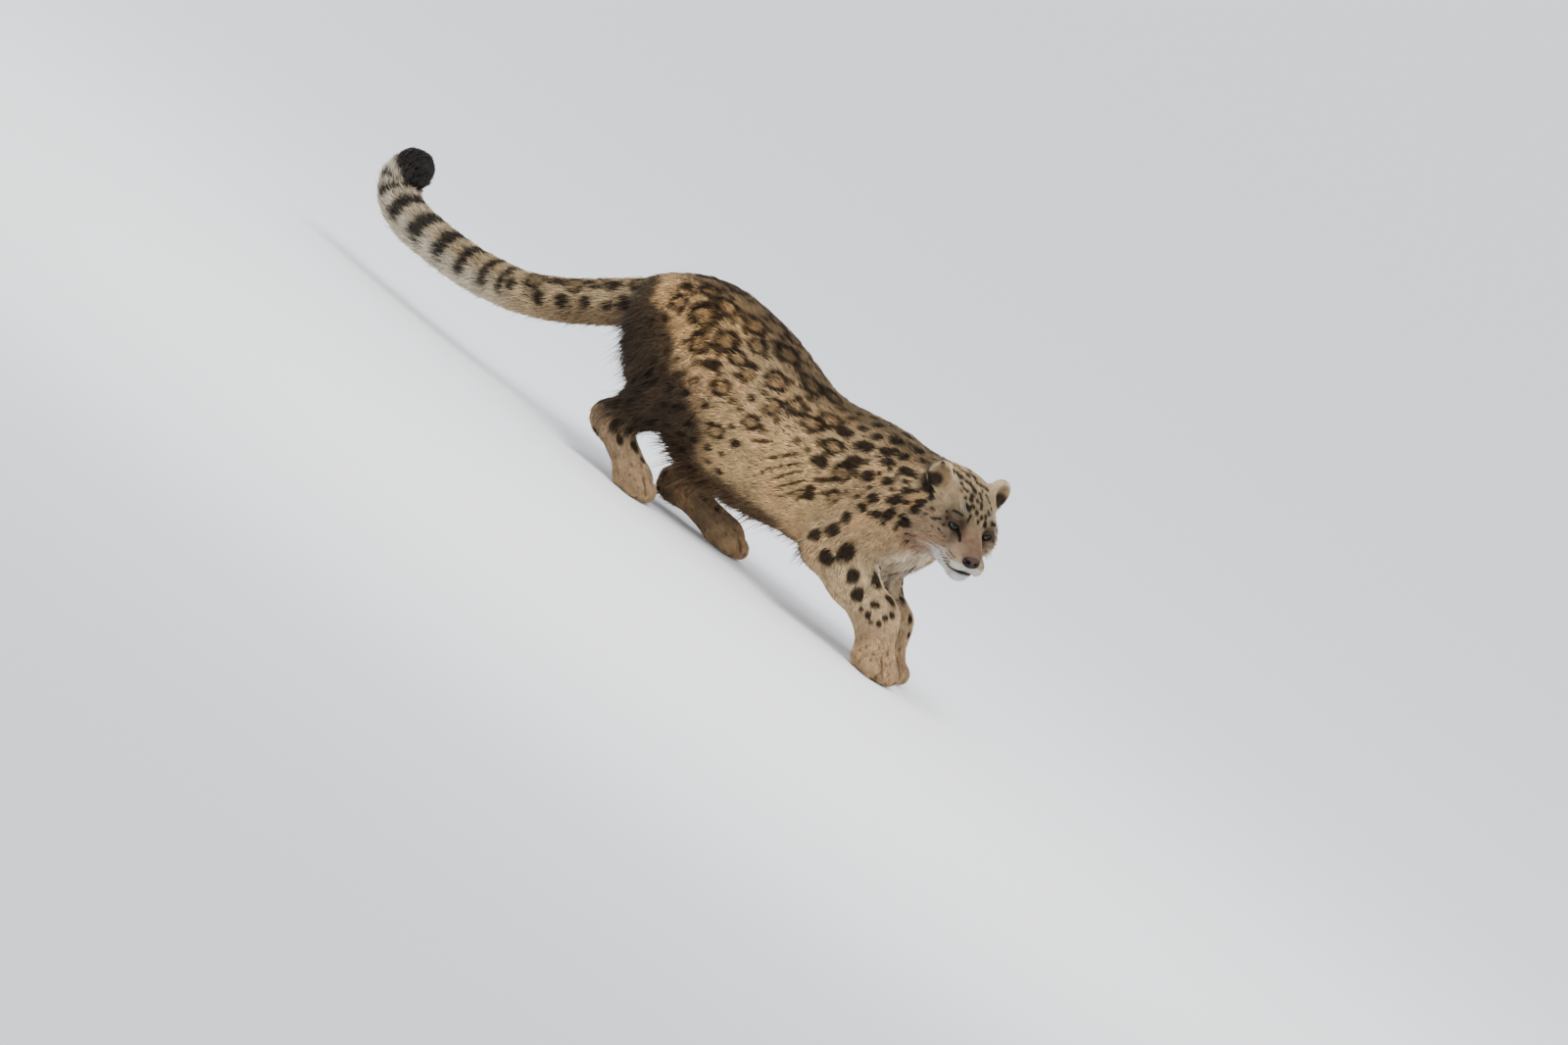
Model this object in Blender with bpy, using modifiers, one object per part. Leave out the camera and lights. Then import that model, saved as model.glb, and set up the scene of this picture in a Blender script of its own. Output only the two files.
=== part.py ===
"""Snow leopard, a life-size still model: a low walk with the head turned to its right and the tail trailing.

Metres, +Z up, the nose towards +X, the animal's left towards +Y, the soles at Z = 0. Every mass of the
body is a rounded form with its own size. The forms melt into one smooth surface, which is sculpted
region by region and parted into named pieces by flat cuts.
"""

import math

import bmesh
import bpy
import numpy as np
from mathutils import Euler, Matrix, Vector

# Driving dimensions, in metres, with the winter coat on.
TRUNK_HALF_WIDTH = 0.128
NECK_RADIUS = 0.098
HEAD_SCALE = 1.0
TAIL_RADIUS = 0.047
TAIL_BASE_RADIUS = 0.054
TAIL_STEPS = 33
PAW_HALF_WIDTH = 0.053
PAW_HALF_LENGTH = 0.060
EYE_RADIUS = 0.0145
PART_GAP = 0.0003
LOCK_PROFILE = ((0.0, 0.85), (0.38, 1.0), (0.76, 0.62))
LOCK_FLATNESS = 0.16
LOCK_FOOT = 0.008
SIDES = {"right": -1, "left": 1}

# Joints of the skeleton. The near front paw stands at X = 0, and everything is centred at the end.
HIP = {"right": (-0.805, -0.062, 0.340), "left": (-0.790, 0.062, 0.335)}
KNEE = {"right": (-0.684, -0.112, 0.233), "left": (-0.600, 0.115, 0.198)}
HOCK = {"right": (-0.806, -0.100, 0.102), "left": (-0.678, 0.100, 0.056)}
HIND_BALL = {"right": (-0.688, -0.100, 0.036), "left": (-0.528, 0.104, 0.034)}
SHOULDER = {"right": (-0.175, -0.082, 0.275), "left": (-0.175, 0.082, 0.275)}
ELBOW = {"right": (-0.232, -0.100, 0.168), "left": (-0.240, 0.092, 0.168)}
WRIST = {"right": (-0.066, -0.084, 0.108), "left": (-0.100, 0.080, 0.098)}
FORE_BALL = {"right": (-0.020, -0.080, 0.040), "left": (-0.066, 0.076, 0.038)}
FORE_TOE_TURN = {"right": math.radians(-14), "left": math.radians(6)}
HIND_TOE_TURN = {"right": math.radians(-6), "left": math.radians(6)}

HEAD_PLACE = (-0.052, -0.070, 0.378)
HEAD_TURN = Euler((math.radians(12), math.radians(9.5), math.radians(-37.5)), "XYZ")

TAIL_LINE = (
    (-0.890, 0.000, 0.354), (-0.967, 0.000, 0.306), (-1.036, 0.004, 0.260), (-1.117, 0.016, 0.214),
    (-1.199, 0.036, 0.182), (-1.286, 0.062, 0.163), (-1.380, 0.092, 0.152), (-1.472, 0.122, 0.149),
    (-1.549, 0.148, 0.153), (-1.602, 0.166, 0.175), (-1.620, 0.172, 0.207), (-1.608, 0.168, 0.238),
)


class Form:
    """A rounded mass: an ellipsoid, or a limb that tapers from one end to the other. A dent is cut away."""

    def __init__(self, start, end, radii, blend, axes=None, squash=None, dent=False):
        self.start = np.array(start, float)
        self.end = None if end is None else np.array(end, float)
        self.radii = np.array(radii, float)
        self.blend = blend
        self.axes = np.identity(3) if axes is None else np.array(axes, float)
        self.squash = squash
        self.dent = dent

    def reach(self):
        """Centre and radius of a ball that holds the form."""
        if self.end is None:
            return self.start, float(self.radii.max())
        centre = (self.start + self.end) / 2
        return centre, float(np.linalg.norm(self.end - self.start) / 2 + self.radii.max())

    def distance(self, points):
        if self.end is None:
            local = (points - self.start) @ self.axes / self.radii
            size = np.linalg.norm(local, axis=1)
            slope = np.linalg.norm(local / self.radii, axis=1)
            return size * (size - 1) / np.maximum(slope, 1e-9)
        along = self.end - self.start
        offset = points - self.start
        share = np.clip(offset @ along / (along @ along), 0, 1)
        away = offset - share[:, None] * along
        if self.squash is not None:
            across, ratio = self.squash
            across = np.array(across, float)
            away = away + (away @ across)[:, None] * across * (1 / ratio - 1)
        return np.linalg.norm(away, axis=1) - (self.radii[0] + share * (self.radii[1] - self.radii[0]))


def axes_from(turn):
    """Columns are the axes of something turned by these angles."""
    return np.array(Euler(turn, "XYZ").to_matrix())


def mass(centre, radii, turn=(0, 0, 0), blend=0.04, dent=False):
    return Form(centre, None, radii, blend, axes_from(turn), None, dent)


def limb(start, end, start_radius, end_radius, blend=0.03, squash=None, dent=False):
    return Form(start, end, (start_radius, end_radius), blend, None, squash, dent)


def field(forms, points):
    """Distance to the melted surface, negative inside. Each form melts in over its own blend."""
    total = np.full(len(points), 1.0)
    for form in forms:
        centre, reach = form.reach()
        near = ((points - centre) ** 2).sum(1) < (reach + form.blend + 0.05) ** 2
        if not near.any():
            continue
        here = form.distance(points[near])
        was = total[near]
        if form.dent:
            here = -here
            overlap = np.maximum(form.blend - np.abs(was - here), 0) / form.blend
            total[near] = np.maximum(was, here) + overlap**2 * form.blend / 4
        else:
            overlap = np.maximum(form.blend - np.abs(was - here), 0) / form.blend
            total[near] = np.minimum(was, here) - overlap**2 * form.blend / 4
    return total


def slope_of(forms, points, step=0.0006):
    """Direction in which the field grows fastest, which is the surface's normal."""
    slope = np.empty_like(points)
    for axis in range(3):
        shift = np.zeros(3)
        shift[axis] = step
        slope[:, axis] = field(forms, points + shift) - field(forms, points - shift)
    return slope / (2 * step)


def settle(forms, points, rounds=4, most=0.012):
    """Points walked onto the melted surface."""
    for _ in range(rounds):
        slope = slope_of(forms, points)
        move = field(forms, points)[:, None] * slope / np.maximum((slope**2).sum(1), 0.05)[:, None]
        length = np.linalg.norm(move, axis=1)[:, None]
        points = points - move * np.minimum(1, most / np.maximum(length, 1e-9))
    return points


def trunk_forms():
    """Ribcage, belly, loin and pelvis, narrower than they are deep."""
    wide = TRUNK_HALF_WIDTH
    forms = [
        mass((-0.42, 0, 0.268), (0.235, wide, 0.150), (0, 0.03, 0), 0.03),
        mass((-0.58, 0, 0.262), (0.200, wide * 1.05, 0.148), (0, -0.03, 0), 0.08),
        mass((-0.68, 0, 0.346), (0.185, wide * 0.86, 0.126), (0, 0.02, 0), 0.07),
        mass((-0.805, 0, 0.343), (0.142, wide * 0.88, 0.116), (0, -0.45, 0), 0.06),
        mass((-0.25, 0, 0.245), (0.125, wide * 0.80, 0.120), (0, -0.25, 0), 0.06),
        mass((-0.20, 0.010, 0.246), (0.090, 0.085, 0.084), blend=0.04),
        mass((-0.31, 0, 0.325), (0.150, wide * 0.72, 0.105), (0, 0.05, 0), 0.05),
        limb((-0.70, 0, 0.215), (-0.62, 0, 0.175), 0.075, 0.065, 0.06),
    ]
    for side, way in SIDES.items():
        shoulder = SHOULDER[side]
        blade = ((shoulder[0] - 0.305) / 2, way * 0.080, 0.325)
        forms.append(mass(blade, (0.070, 0.042, 0.115), (way * 0.28, -0.45, 0), 0.05))
    return forms


def foreleg_forms(side):
    way = SIDES[side]
    shoulder, elbow, wrist, ball = SHOULDER[side], ELBOW[side], WRIST[side], FORE_BALL[side]
    point = (elbow[0] - 0.018, elbow[1], elbow[2] + 0.004)
    middle = [a + (b - a) * 0.45 for a, b in zip(elbow, wrist)]
    return [
        limb(shoulder, elbow, 0.076, 0.058, 0.05),
        mass(point, (0.048, 0.040, 0.044), blend=0.03),
        limb(elbow, middle, 0.053, 0.050, 0.03),
        limb(middle, wrist, 0.050, 0.044, 0.03),
        limb(wrist, ball, 0.043, 0.041, 0.03),
    ] + paw_forms(ball, FORE_TOE_TURN[side], way, 1.0)


def hindleg_forms(side):
    way = SIDES[side]
    hip, knee, hock, ball = HIP[side], KNEE[side], HOCK[side], HIND_BALL[side]
    buttock = (hip[0] + 0.016, hip[1] + way * 0.016, 0.272)
    heel = (hock[0] - 0.006, hock[1], hock[2] - 0.004)
    return [
        limb(hip, knee, 0.096, 0.060, 0.06, ((0, 1, 0), 0.80)),
        mass(buttock, (0.074, 0.056, 0.100), (0, 0.30, 0), 0.05),
        limb(knee, hock, 0.056, 0.035, 0.04),
        mass(heel, (0.036, 0.028, 0.034), blend=0.02),
        limb(hock, ball, 0.033, 0.034, 0.025),
    ] + paw_forms(ball, HIND_TOE_TURN[side], way, 0.92)


def paw_forms(ball, turn, way, scale):
    """A broad furred paw: a low pad mass and four toes, the middle two longest."""
    ahead = np.array((math.cos(turn), math.sin(turn), 0))
    aside = np.array((-math.sin(turn), math.cos(turn), 0))
    base = np.array((ball[0], ball[1], 0))
    wide, long = PAW_HALF_WIDTH * scale, PAW_HALF_LENGTH * scale
    forms = [mass(base + ahead * 0.002 + (0, 0, 0.026), (long * 0.80, wide * 0.86, 0.036), (0, 0, turn), 0.02)]
    toes = ((-0.72, 0.60), (-0.26, 0.86), (0.24, 0.90), (0.70, 0.66))
    for across, out in toes:
        place = base + ahead * long * out * 0.80 + aside * wide * across * way + (0, 0, 0.022)
        forms.append(mass(place, (0.027 * scale, 0.0145 * scale, 0.025 * scale), (0, 0.25, turn), 0.005))
    return forms


def tail_place(share):
    """A place on the smooth curve through the tail's line, from its root at 0 to its tip at 1."""
    along = share * (len(TAIL_LINE) - 1)
    first = min(int(along), len(TAIL_LINE) - 2)
    here = along - first
    line = [TAIL_LINE[max(0, min(len(TAIL_LINE) - 1, first + step))] for step in (-1, 0, 1, 2)]
    before, start, end, after = (np.array(place) for place in line)
    bend = 2 * before - 5 * start + 4 * end - after
    twist = 3 * start - before - 3 * end + after
    return start + 0.5 * here * (end - before + here * (bend + here * twist))


def tail_radius(share):
    """Thick at the root, and of even thickness with its long fur from there to the round tip."""
    return TAIL_BASE_RADIUS + (TAIL_RADIUS - TAIL_BASE_RADIUS) * min(1, share * 3)


def tail_forms():
    stops = [stop / TAIL_STEPS for stop in range(TAIL_STEPS + 1)]
    forms = []
    for start, end in zip(stops, stops[1:]):
        places = tail_place(start), tail_place(end)
        forms.append(limb(*places, tail_radius(start), tail_radius(end), 0.003))
    forms[0].blend = 0.05
    return forms


NOSE_PLACE = (0.1500, 0, -0.0195)
NOSE_RADII = (0.0165, 0.0205, 0.0135)
LIDS_RADII = (0.0090, 0.0125, 0.0082)
NOSTRIL_RADII = (0.0080, 0.0042, 0.0030)


def head_matrix():
    return Matrix.Translation(HEAD_PLACE) @ HEAD_TURN.to_matrix().to_4x4() @ Matrix.Scale(HEAD_SCALE, 4)


def in_head(place):
    """A place in the head's own frame, nose ahead, to the model's frame."""
    return np.array(head_matrix() @ Vector(place))


def head_mass(centre, radii, turn=(0, 0, 0), blend=0.02, dent=False):
    axes = np.array(HEAD_TURN.to_matrix() @ Euler(turn, "XYZ").to_matrix())
    return Form(in_head(centre), None, np.array(radii) * HEAD_SCALE, blend, axes, None, dent)


def head_limb(start, end, start_radius, end_radius, blend=0.02, dent=False):
    radii = (start_radius * HEAD_SCALE, end_radius * HEAD_SCALE)
    return Form(in_head(start), in_head(end), radii, blend, None, None, dent)


def eye_place(way):
    return (0.0695, way * 0.0365, 0.0120)


def lids_place(way):
    return (0.0865, way * 0.0420, 0.0115)


def nostril_place(way):
    return (0.1590, way * 0.0115, -0.0215)


def lids_turn(way):
    return (way * 0.22, 0, way * 0.35)


def neck_forms():
    nape = in_head((-0.045, 0, 0.005))
    throat = in_head((-0.020, 0, -0.035))
    return [
        limb((-0.300, 0, 0.318), nape, NECK_RADIUS * 1.12, 0.080, 0.05),
        limb((-0.225, -0.004, 0.270), throat, NECK_RADIUS, 0.054, 0.05),
    ]


def skull_forms():
    """Domed skull, full cheeks, short deep muzzle and chin, without eyes or ears."""
    forms = [
        head_mass((0.000, 0, 0.015), (0.080, 0.069, 0.063), blend=0.03),
        head_mass((0.040, 0, 0.022), (0.050, 0.052, 0.042)),
        head_limb((0.050, 0, 0.014), (0.128, 0, -0.0155), 0.035, 0.0210, 0.02),
        head_mass((0.104, 0, -0.038), (0.045, 0.040, 0.031), blend=0.02),
        head_limb((0.000, 0, -0.058), (0.100, 0, -0.066), 0.044, 0.024, 0.025),
        head_mass((0.118, 0, -0.071), (0.024, 0.025, 0.018), blend=0.012),
    ]
    for way in SIDES.values():
        forms += [
            head_mass((0.048, way * 0.049, -0.014), (0.044, 0.028, 0.034), blend=0.02),
            head_mass((0.000, way * 0.065, -0.028), (0.052, 0.037, 0.050), blend=0.025),
            head_mass((0.068, way * 0.030, 0.033), (0.020, 0.022, 0.012), blend=0.014),
            head_mass((0.123, way * 0.022, -0.043), (0.030, 0.0230, 0.022), blend=0.008),
        ]
    return forms


def eye_forms(way):
    """A shallow socket, and the lids round the eyeball."""
    x, y, z = eye_place(way)
    return [
        head_mass((x + 0.024, y + way * 0.005, z), (0.016, 0.020, 0.016), gaze(way), 0.010, True),
        head_mass((x, y, z), (0.0175, 0.0175, 0.0175), gaze(way), 0.006),
    ]


def ear_forms(way):
    """A short round ear, set low and wide, with its cup facing out and ahead."""
    turn = (way * -0.30, -0.10, way * 0.42)
    cup = (way * -0.30, 0.02, way * 0.42)
    return [
        head_mass((-0.020, way * 0.058, 0.054), (0.026, 0.030, 0.026), turn, 0.014),
        head_mass((-0.024, way * 0.070, 0.067), (0.018, 0.030, 0.032), turn, 0.010),
        head_mass((-0.006, way * 0.077, 0.071), (0.0175, 0.021, 0.0255), cup, 0.004, True),
    ]


def face_dents():
    """Line of the mouth, and the groove below the nose."""
    dents = [head_limb((0.158, 0, -0.034), (0.152, 0, -0.056), 0.0022, 0.0022, 0.004, True)]
    for way in SIDES.values():
        mouth = ((0.153, 0.000, -0.0575), (0.143, 0.020, -0.0610), (0.118, 0.037, -0.0640), (0.080, 0.044, -0.0590))
        for start, end in zip(mouth, mouth[1:]):
            first = (start[0], way * start[1], start[2])
            second = (end[0], way * end[1], end[2])
            dents.append(head_limb(first, second, 0.0040, 0.0035, 0.003, True))
    return dents


def nose_forms():
    return [
        head_mass((0.1435, 0, -0.0175), (0.0130, 0.0195, 0.0110), (0, 0.15, 0), 0.006),
        head_mass((0.1450, 0, -0.0270), (0.0110, 0.0100, 0.0100), (0, 0, 0), 0.006),
    ]


def head_forms():
    forms = skull_forms() + nose_forms()
    for way in SIDES.values():
        forms += ear_forms(way)
    for way in SIDES.values():
        forms += eye_forms(way)
    return forms + face_dents()


def all_forms():
    forms = trunk_forms()
    for side in SIDES:
        forms += hindleg_forms(side)
        forms += foreleg_forms(side)
    return forms + tail_forms() + neck_forms() + head_forms()


def rough_cast(forms, voxel):
    """The forms as balls and tapered rods, remeshed into one closed surface."""
    build = bmesh.new()
    for form in forms:
        if form.dent:
            continue
        if form.end is None:
            size = Matrix.Diagonal((*form.radii, 1))
            turn = Matrix(form.axes.tolist()).to_4x4()
            place = Matrix.Translation(form.start) @ turn @ size
            bmesh.ops.create_icosphere(build, subdivisions=3, radius=1, matrix=place)
            continue
        steps = max(2, round(float(np.linalg.norm(form.end - form.start)) / (0.6 * float(form.radii.min()))))
        for step in range(steps + 1):
            share = step / steps
            centre = form.start + (form.end - form.start) * share
            radius = form.radii[0] + (form.radii[1] - form.radii[0]) * share
            place = Matrix.Translation(centre)
            bmesh.ops.create_icosphere(build, subdivisions=3, radius=radius, matrix=place)
    mesh = bpy.data.meshes.new("cast")
    build.to_mesh(mesh)
    build.free()
    cast = bpy.data.objects.new("cast", mesh)
    bpy.context.scene.collection.objects.link(cast)
    remesh = cast.modifiers.new("Remesh", "REMESH")
    remesh.mode = "VOXEL"
    remesh.voxel_size = voxel
    apply_modifiers(cast)
    return cast


def lock(root, lay, out, length, width, droop):
    """A flat tapering lock of coat: a diamond in section that bends towards its tip, with its foot inside."""
    across = unit(np.cross(lay, out))
    rings = []
    for share, wide in LOCK_PROFILE:
        centre = root + lay * length * share + out * (LOCK_FOOT * (share - 0.25) * 4 * (1 - share)) + droop * share**2
        thick = out * width * LOCK_FLATNESS * wide
        side = across * width * 0.5 * wide
        rings.append([centre + side, centre + thick, centre - side, centre - thick])
    tip = root + lay * length + droop
    verts = [corner for ring in rings for corner in ring] + [tip]
    faces = [(3, 2, 1, 0)]
    last = len(rings) - 1
    for ring in range(last):
        for corner in range(4):
            here, beside = ring * 4 + corner, ring * 4 + (corner + 1) % 4
            faces.append((here, beside, beside + 4, here + 4))
    faces += [(last * 4 + corner, last * 4 + (corner + 1) % 4, len(verts) - 1) for corner in range(4)]
    mesh = bpy.data.meshes.new("lock")
    mesh.from_pydata([tuple(vert) for vert in verts], [], faces)
    build = bmesh.new()
    build.from_mesh(mesh)
    bmesh.ops.triangulate(build, faces=build.faces[:])
    bmesh.ops.recalc_face_normals(build, faces=build.faces)
    build.to_mesh(mesh)
    build.free()
    return bpy.data.objects.new("lock", mesh)


def grown_locks(forms, rows, seed):
    """Locks in rows over the surface: each root is walked onto it, and each lock lies along its row's lay."""
    chance = np.random.default_rng(seed)
    grown = bpy.data.collections.new("locks")
    bpy.context.scene.collection.children.link(grown)
    for guides, lay, length, width, lift in rows:
        guides = np.array(guides, float)
        guides += chance.uniform(-0.007, 0.007, guides.shape)
        roots = settle(forms, guides, 8, 0.03)
        normals = slope_of(forms, roots)
        for root, normal in zip(roots, normals):
            normal = unit(normal)
            way = np.array(lay, float) + chance.uniform(-0.16, 0.16, 3)
            flat = unit(way - normal * (way @ normal))
            aim = unit(flat + normal * (lift + chance.uniform(-0.06, 0.06)))
            out = unit(normal - aim * (normal @ aim))
            size = length * chance.uniform(0.85, 1.15)
            droop = np.array((0, 0, -0.10)) * size
            foot = root - normal * LOCK_FOOT - aim * size * 0.12
            grown.objects.link(lock(foot, aim, out, size, width * chance.uniform(0.9, 1.1), droop))
    return grown


def fuse(obj, locks):
    """The locks become one body with the mesh that they grow from."""
    join = obj.modifiers.new("Locks", "BOOLEAN")
    join.operation = "UNION"
    join.operand_type = "COLLECTION"
    join.collection = locks
    join.solver = "MANIFOLD"
    bpy.context.view_layer.update()
    apply_modifiers(obj)
    for piece in list(locks.objects):
        bpy.data.objects.remove(piece)
    bpy.data.collections.remove(locks)


def spread(start, end, count):
    """Places at even steps from one place to another, both included."""
    start, end = np.array(start, float), np.array(end, float)
    return [start + (end - start) * step / max(1, count - 1) for step in range(count)]


def body_rows():
    """The fringe below the belly, the shaggy rear of the thighs, the chest, the elbows and the hocks."""
    rows = []
    for across in (-0.090, -0.034, 0.034, 0.090):
        stagger = 0.02 if across * across < 0.004 else 0.0
        row = spread((-0.655 + stagger, across, 0.10), (-0.345 + stagger, across * 0.85, 0.10), 8)
        rows.append((row, (-0.85, across * 2.0, -0.70), 0.068, 0.042, 0.42))
    for across in (-0.046, 0.0, 0.046):
        row = spread((-0.140, across, 0.190), (-0.232, across, 0.115), 4)
        rows.append((row, (-0.60, across * 2, -1.0), 0.062, 0.040, 0.26))
    for side, way in SIDES.items():
        hip, hock, elbow = HIP[side], HOCK[side], ELBOW[side]
        rear = -0.93 if side == "right" else -0.91
        for across, start, end in ((0.030, 0.300, 0.205), (0.075, 0.330, 0.165), (0.115, 0.315, 0.165)):
            row = spread((rear, way * across, start), (rear + 0.055, way * across, end), 4)
            rows.append((row, (-0.42, way * (across - 0.07) * 4, -1.0), 0.070, 0.042, 0.34))
        row = spread((elbow[0] - 0.075, elbow[1], elbow[2] + 0.02), (elbow[0] - 0.01, elbow[1], elbow[2] - 0.07), 3)
        rows.append((row, (-0.85, way * 0.2, -0.75), 0.056, 0.036, 0.30))
        knee = KNEE[side]
        row = spread((knee[0] - 0.08, hock[1], knee[2] - 0.10), (hock[0] - 0.05, hock[1], hock[2] + 0.03), 2)
        rows.append((row, (-0.75, 0, -0.8), 0.050, 0.034, 0.30))
    return rows


def tail_rows():
    """Longer hair below the tail near its root, and all round its end."""
    rows = []
    for share in (0.16, 0.24, 0.33, 0.42, 0.51, 0.60):
        here, along = tail_place(share), unit(tail_place(share + 0.02) - tail_place(share - 0.02))
        radius = tail_radius(share)
        guides = [here + (0, way * radius * 0.7, -radius) for way in (-1, 0.1, 1)]
        rows.append((guides, along, 0.072, 0.040, 0.09))
    for share in (0.70, 0.80, 0.89, 0.97):
        here, along = tail_place(share), unit(tail_place(min(share + 0.02, 1)) - tail_place(share - 0.04))
        side = unit(np.cross(along, (0, 1, 0.2)))
        other = unit(np.cross(along, side))
        turns = [math.radians(turn + share * 400) for turn in (0, 90, 180, 270)]
        guides = [here + (side * math.cos(turn) + other * math.sin(turn)) * TAIL_RADIUS for turn in turns]
        rows.append((guides, along, 0.054, 0.044, 0.09))
    return rows


def head_rows():
    """The ruff behind and below each cheek, and the beard of the throat."""
    rows = []
    frame = np.array(head_matrix().to_3x3())
    for way in SIDES.values():
        lay = frame @ (-0.85, way * 0.40, -0.55)
        row = [in_head(place) for place in ((-0.020, way * 0.11, 0.000), (-0.012, way * 0.11, -0.035))]
        row += [in_head(place) for place in ((-0.008, way * 0.10, -0.070), (0.030, way * 0.10, -0.055))]
        rows.append((row, lay, 0.046, 0.032, 0.22))
    return rows


def apply_modifiers(obj):
    """The object's mesh becomes what its modifiers make of it."""
    graph = bpy.context.evaluated_depsgraph_get()
    made = bpy.data.meshes.new_from_object(obj.evaluated_get(graph))
    old = obj.data
    obj.modifiers.clear()
    obj.data = made
    bpy.data.meshes.remove(old)


def vertex_places(obj):
    places = np.empty(len(obj.data.vertices) * 3)
    obj.data.vertices.foreach_get("co", places)
    return places.reshape(-1, 3)


def sculpt(cast_forms, surface_forms, voxel, triangles):
    """One region of the animal as a closed mesh on the melted surface, thinned to a number of triangles."""
    obj = rough_cast(cast_forms, voxel)
    obj.data.vertices.foreach_set("co", settle(surface_forms, vertex_places(obj)).ravel())
    obj.data.update()
    thin = obj.modifiers.new("Thin", "DECIMATE")
    count = sum(len(face.vertices) - 2 for face in obj.data.polygons)
    thin.ratio = min(1.0, triangles / count)
    apply_modifiers(obj)
    return obj


def halved(obj, point, normal):
    """Keeps what lies behind the plane, and closes the cut with a flat face."""
    build = bmesh.new()
    build.from_mesh(obj.data)
    everything = build.verts[:] + build.edges[:] + build.faces[:]
    cut = bmesh.ops.bisect_plane(build, geom=everything, plane_co=point, plane_no=normal, clear_outer=True)
    edges = [piece for piece in cut["geom_cut"] if isinstance(piece, bmesh.types.BMEdge)]
    bmesh.ops.holes_fill(build, edges=edges, sides=0)
    bmesh.ops.triangulate(build, faces=build.faces[:])
    build.to_mesh(obj.data)
    build.free()


def between(obj, planes):
    """Keeps the side of each plane that its normal points away from, less half the parting gap."""
    for point, normal in planes:
        way = Vector(normal).normalized()
        halved(obj, Vector(point) - way * PART_GAP / 2, way)


def copy_of(obj, name):
    made = bpy.data.objects.new(name, obj.data.copy())
    bpy.context.scene.collection.objects.link(made)
    return made


def opposite(plane):
    point, normal = plane
    return (point, tuple(-part for part in normal))


def largest_body(obj):
    """Drops loose scraps that a cut leaves."""
    build = bmesh.new()
    build.from_mesh(obj.data)
    bmesh.ops.remove_doubles(build, verts=build.verts, dist=0.00001)
    left, bodies = set(build.verts), []
    while left:
        found, todo = set(), [left.pop()]
        while todo:
            vert = todo.pop()
            found.add(vert)
            for edge in vert.link_edges:
                other = edge.other_vert(vert)
                if other in left:
                    left.discard(other)
                    todo.append(other)
        bodies.append(found)
    keep = max(bodies, key=len)
    bmesh.ops.delete(build, geom=[vert for vert in build.verts if vert not in keep], context="VERTS")
    bmesh.ops.recalc_face_normals(build, faces=build.faces)
    build.to_mesh(obj.data)
    build.free()


def block(name, lowest, highest, matrix):
    """A cutter: a box between two corners, in the frame of the matrix."""
    size = [b - a for a, b in zip(lowest, highest)]
    middle = [(a + b) / 2 for a, b in zip(lowest, highest)]
    bpy.ops.mesh.primitive_cube_add(size=1)
    obj = bpy.context.active_object
    obj.name = name
    obj.data.transform(matrix @ Matrix.Translation(middle) @ Matrix.Diagonal((*size, 1)))
    set_aside(obj)
    return obj


def set_aside(obj):
    """Cutters are kept apart from the animal, and are not rendered."""
    obj.hide_render = True
    obj.display_type = "WIRE"
    for collection in list(obj.users_collection):
        collection.objects.unlink(obj)
    CUTTERS.objects.link(obj)


def carve(obj, cutter, operation):
    boolean = obj.modifiers.new("Carve", "BOOLEAN")
    boolean.operation = operation
    boolean.object = cutter
    boolean.solver = "EXACT"
    apply_modifiers(obj)


def material(name, colour, roughness):
    made = bpy.data.materials.new(name)
    made.use_nodes = True
    shader = made.node_tree.nodes["Principled BSDF"]
    shader.inputs["Base Color"].default_value = (*colour, 1)
    shader.inputs["Roughness"].default_value = roughness
    shader.inputs["Metallic"].default_value = 0.0
    return made


def finish_piece(obj, name, finish):
    """Names the piece, gives it its material, and puts it with the animal."""
    largest_body(obj)
    obj.name = name
    obj.data.name = name
    obj.data.materials.clear()
    obj.data.materials.append(finish)
    obj.data.shade_smooth()
    obj.data.set_sharp_from_angle(angle=math.radians(40))
    for collection in list(obj.users_collection):
        collection.objects.unlink(obj)
    ANIMAL.objects.link(obj)


def clear_scene():
    for obj in list(bpy.data.objects):
        bpy.data.objects.remove(obj)


def unit(vector):
    return np.array(vector, float) / np.linalg.norm(vector)


def plane(point, way):
    """A cut through a point, facing one way."""
    return tuple(float(part) for part in point), tuple(float(part) for part in unit(way))


def limb_plane(start, end, share):
    """A plane across a limb, facing its far end."""
    start, end = np.array(start, float), np.array(end, float)
    return plane(start + (end - start) * share, end - start)


def tail_plane(share):
    return plane(tail_place(share), tail_place(share + 0.01) - tail_place(share - 0.01))


def ball(name, place, radii, grown, turn=(0, 0, 0)):
    """A cutter: an ellipsoid in the head's frame, with its pole facing ahead."""
    bpy.ops.mesh.primitive_uv_sphere_add(segments=16, ring_count=8, radius=1)
    obj = bpy.context.active_object
    obj.name = name
    pole = Matrix.Rotation(math.radians(90), 4, "Y")
    size = Matrix.Diagonal([radius + grown for radius in radii] + [1])
    facing = Euler(turn, "XYZ").to_matrix().to_4x4()
    obj.data.transform(head_matrix() @ Matrix.Translation(place) @ facing @ size @ pole)
    set_aside(obj)
    return obj


def gaze(way):
    return (0, 0, way * 0.35)


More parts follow.
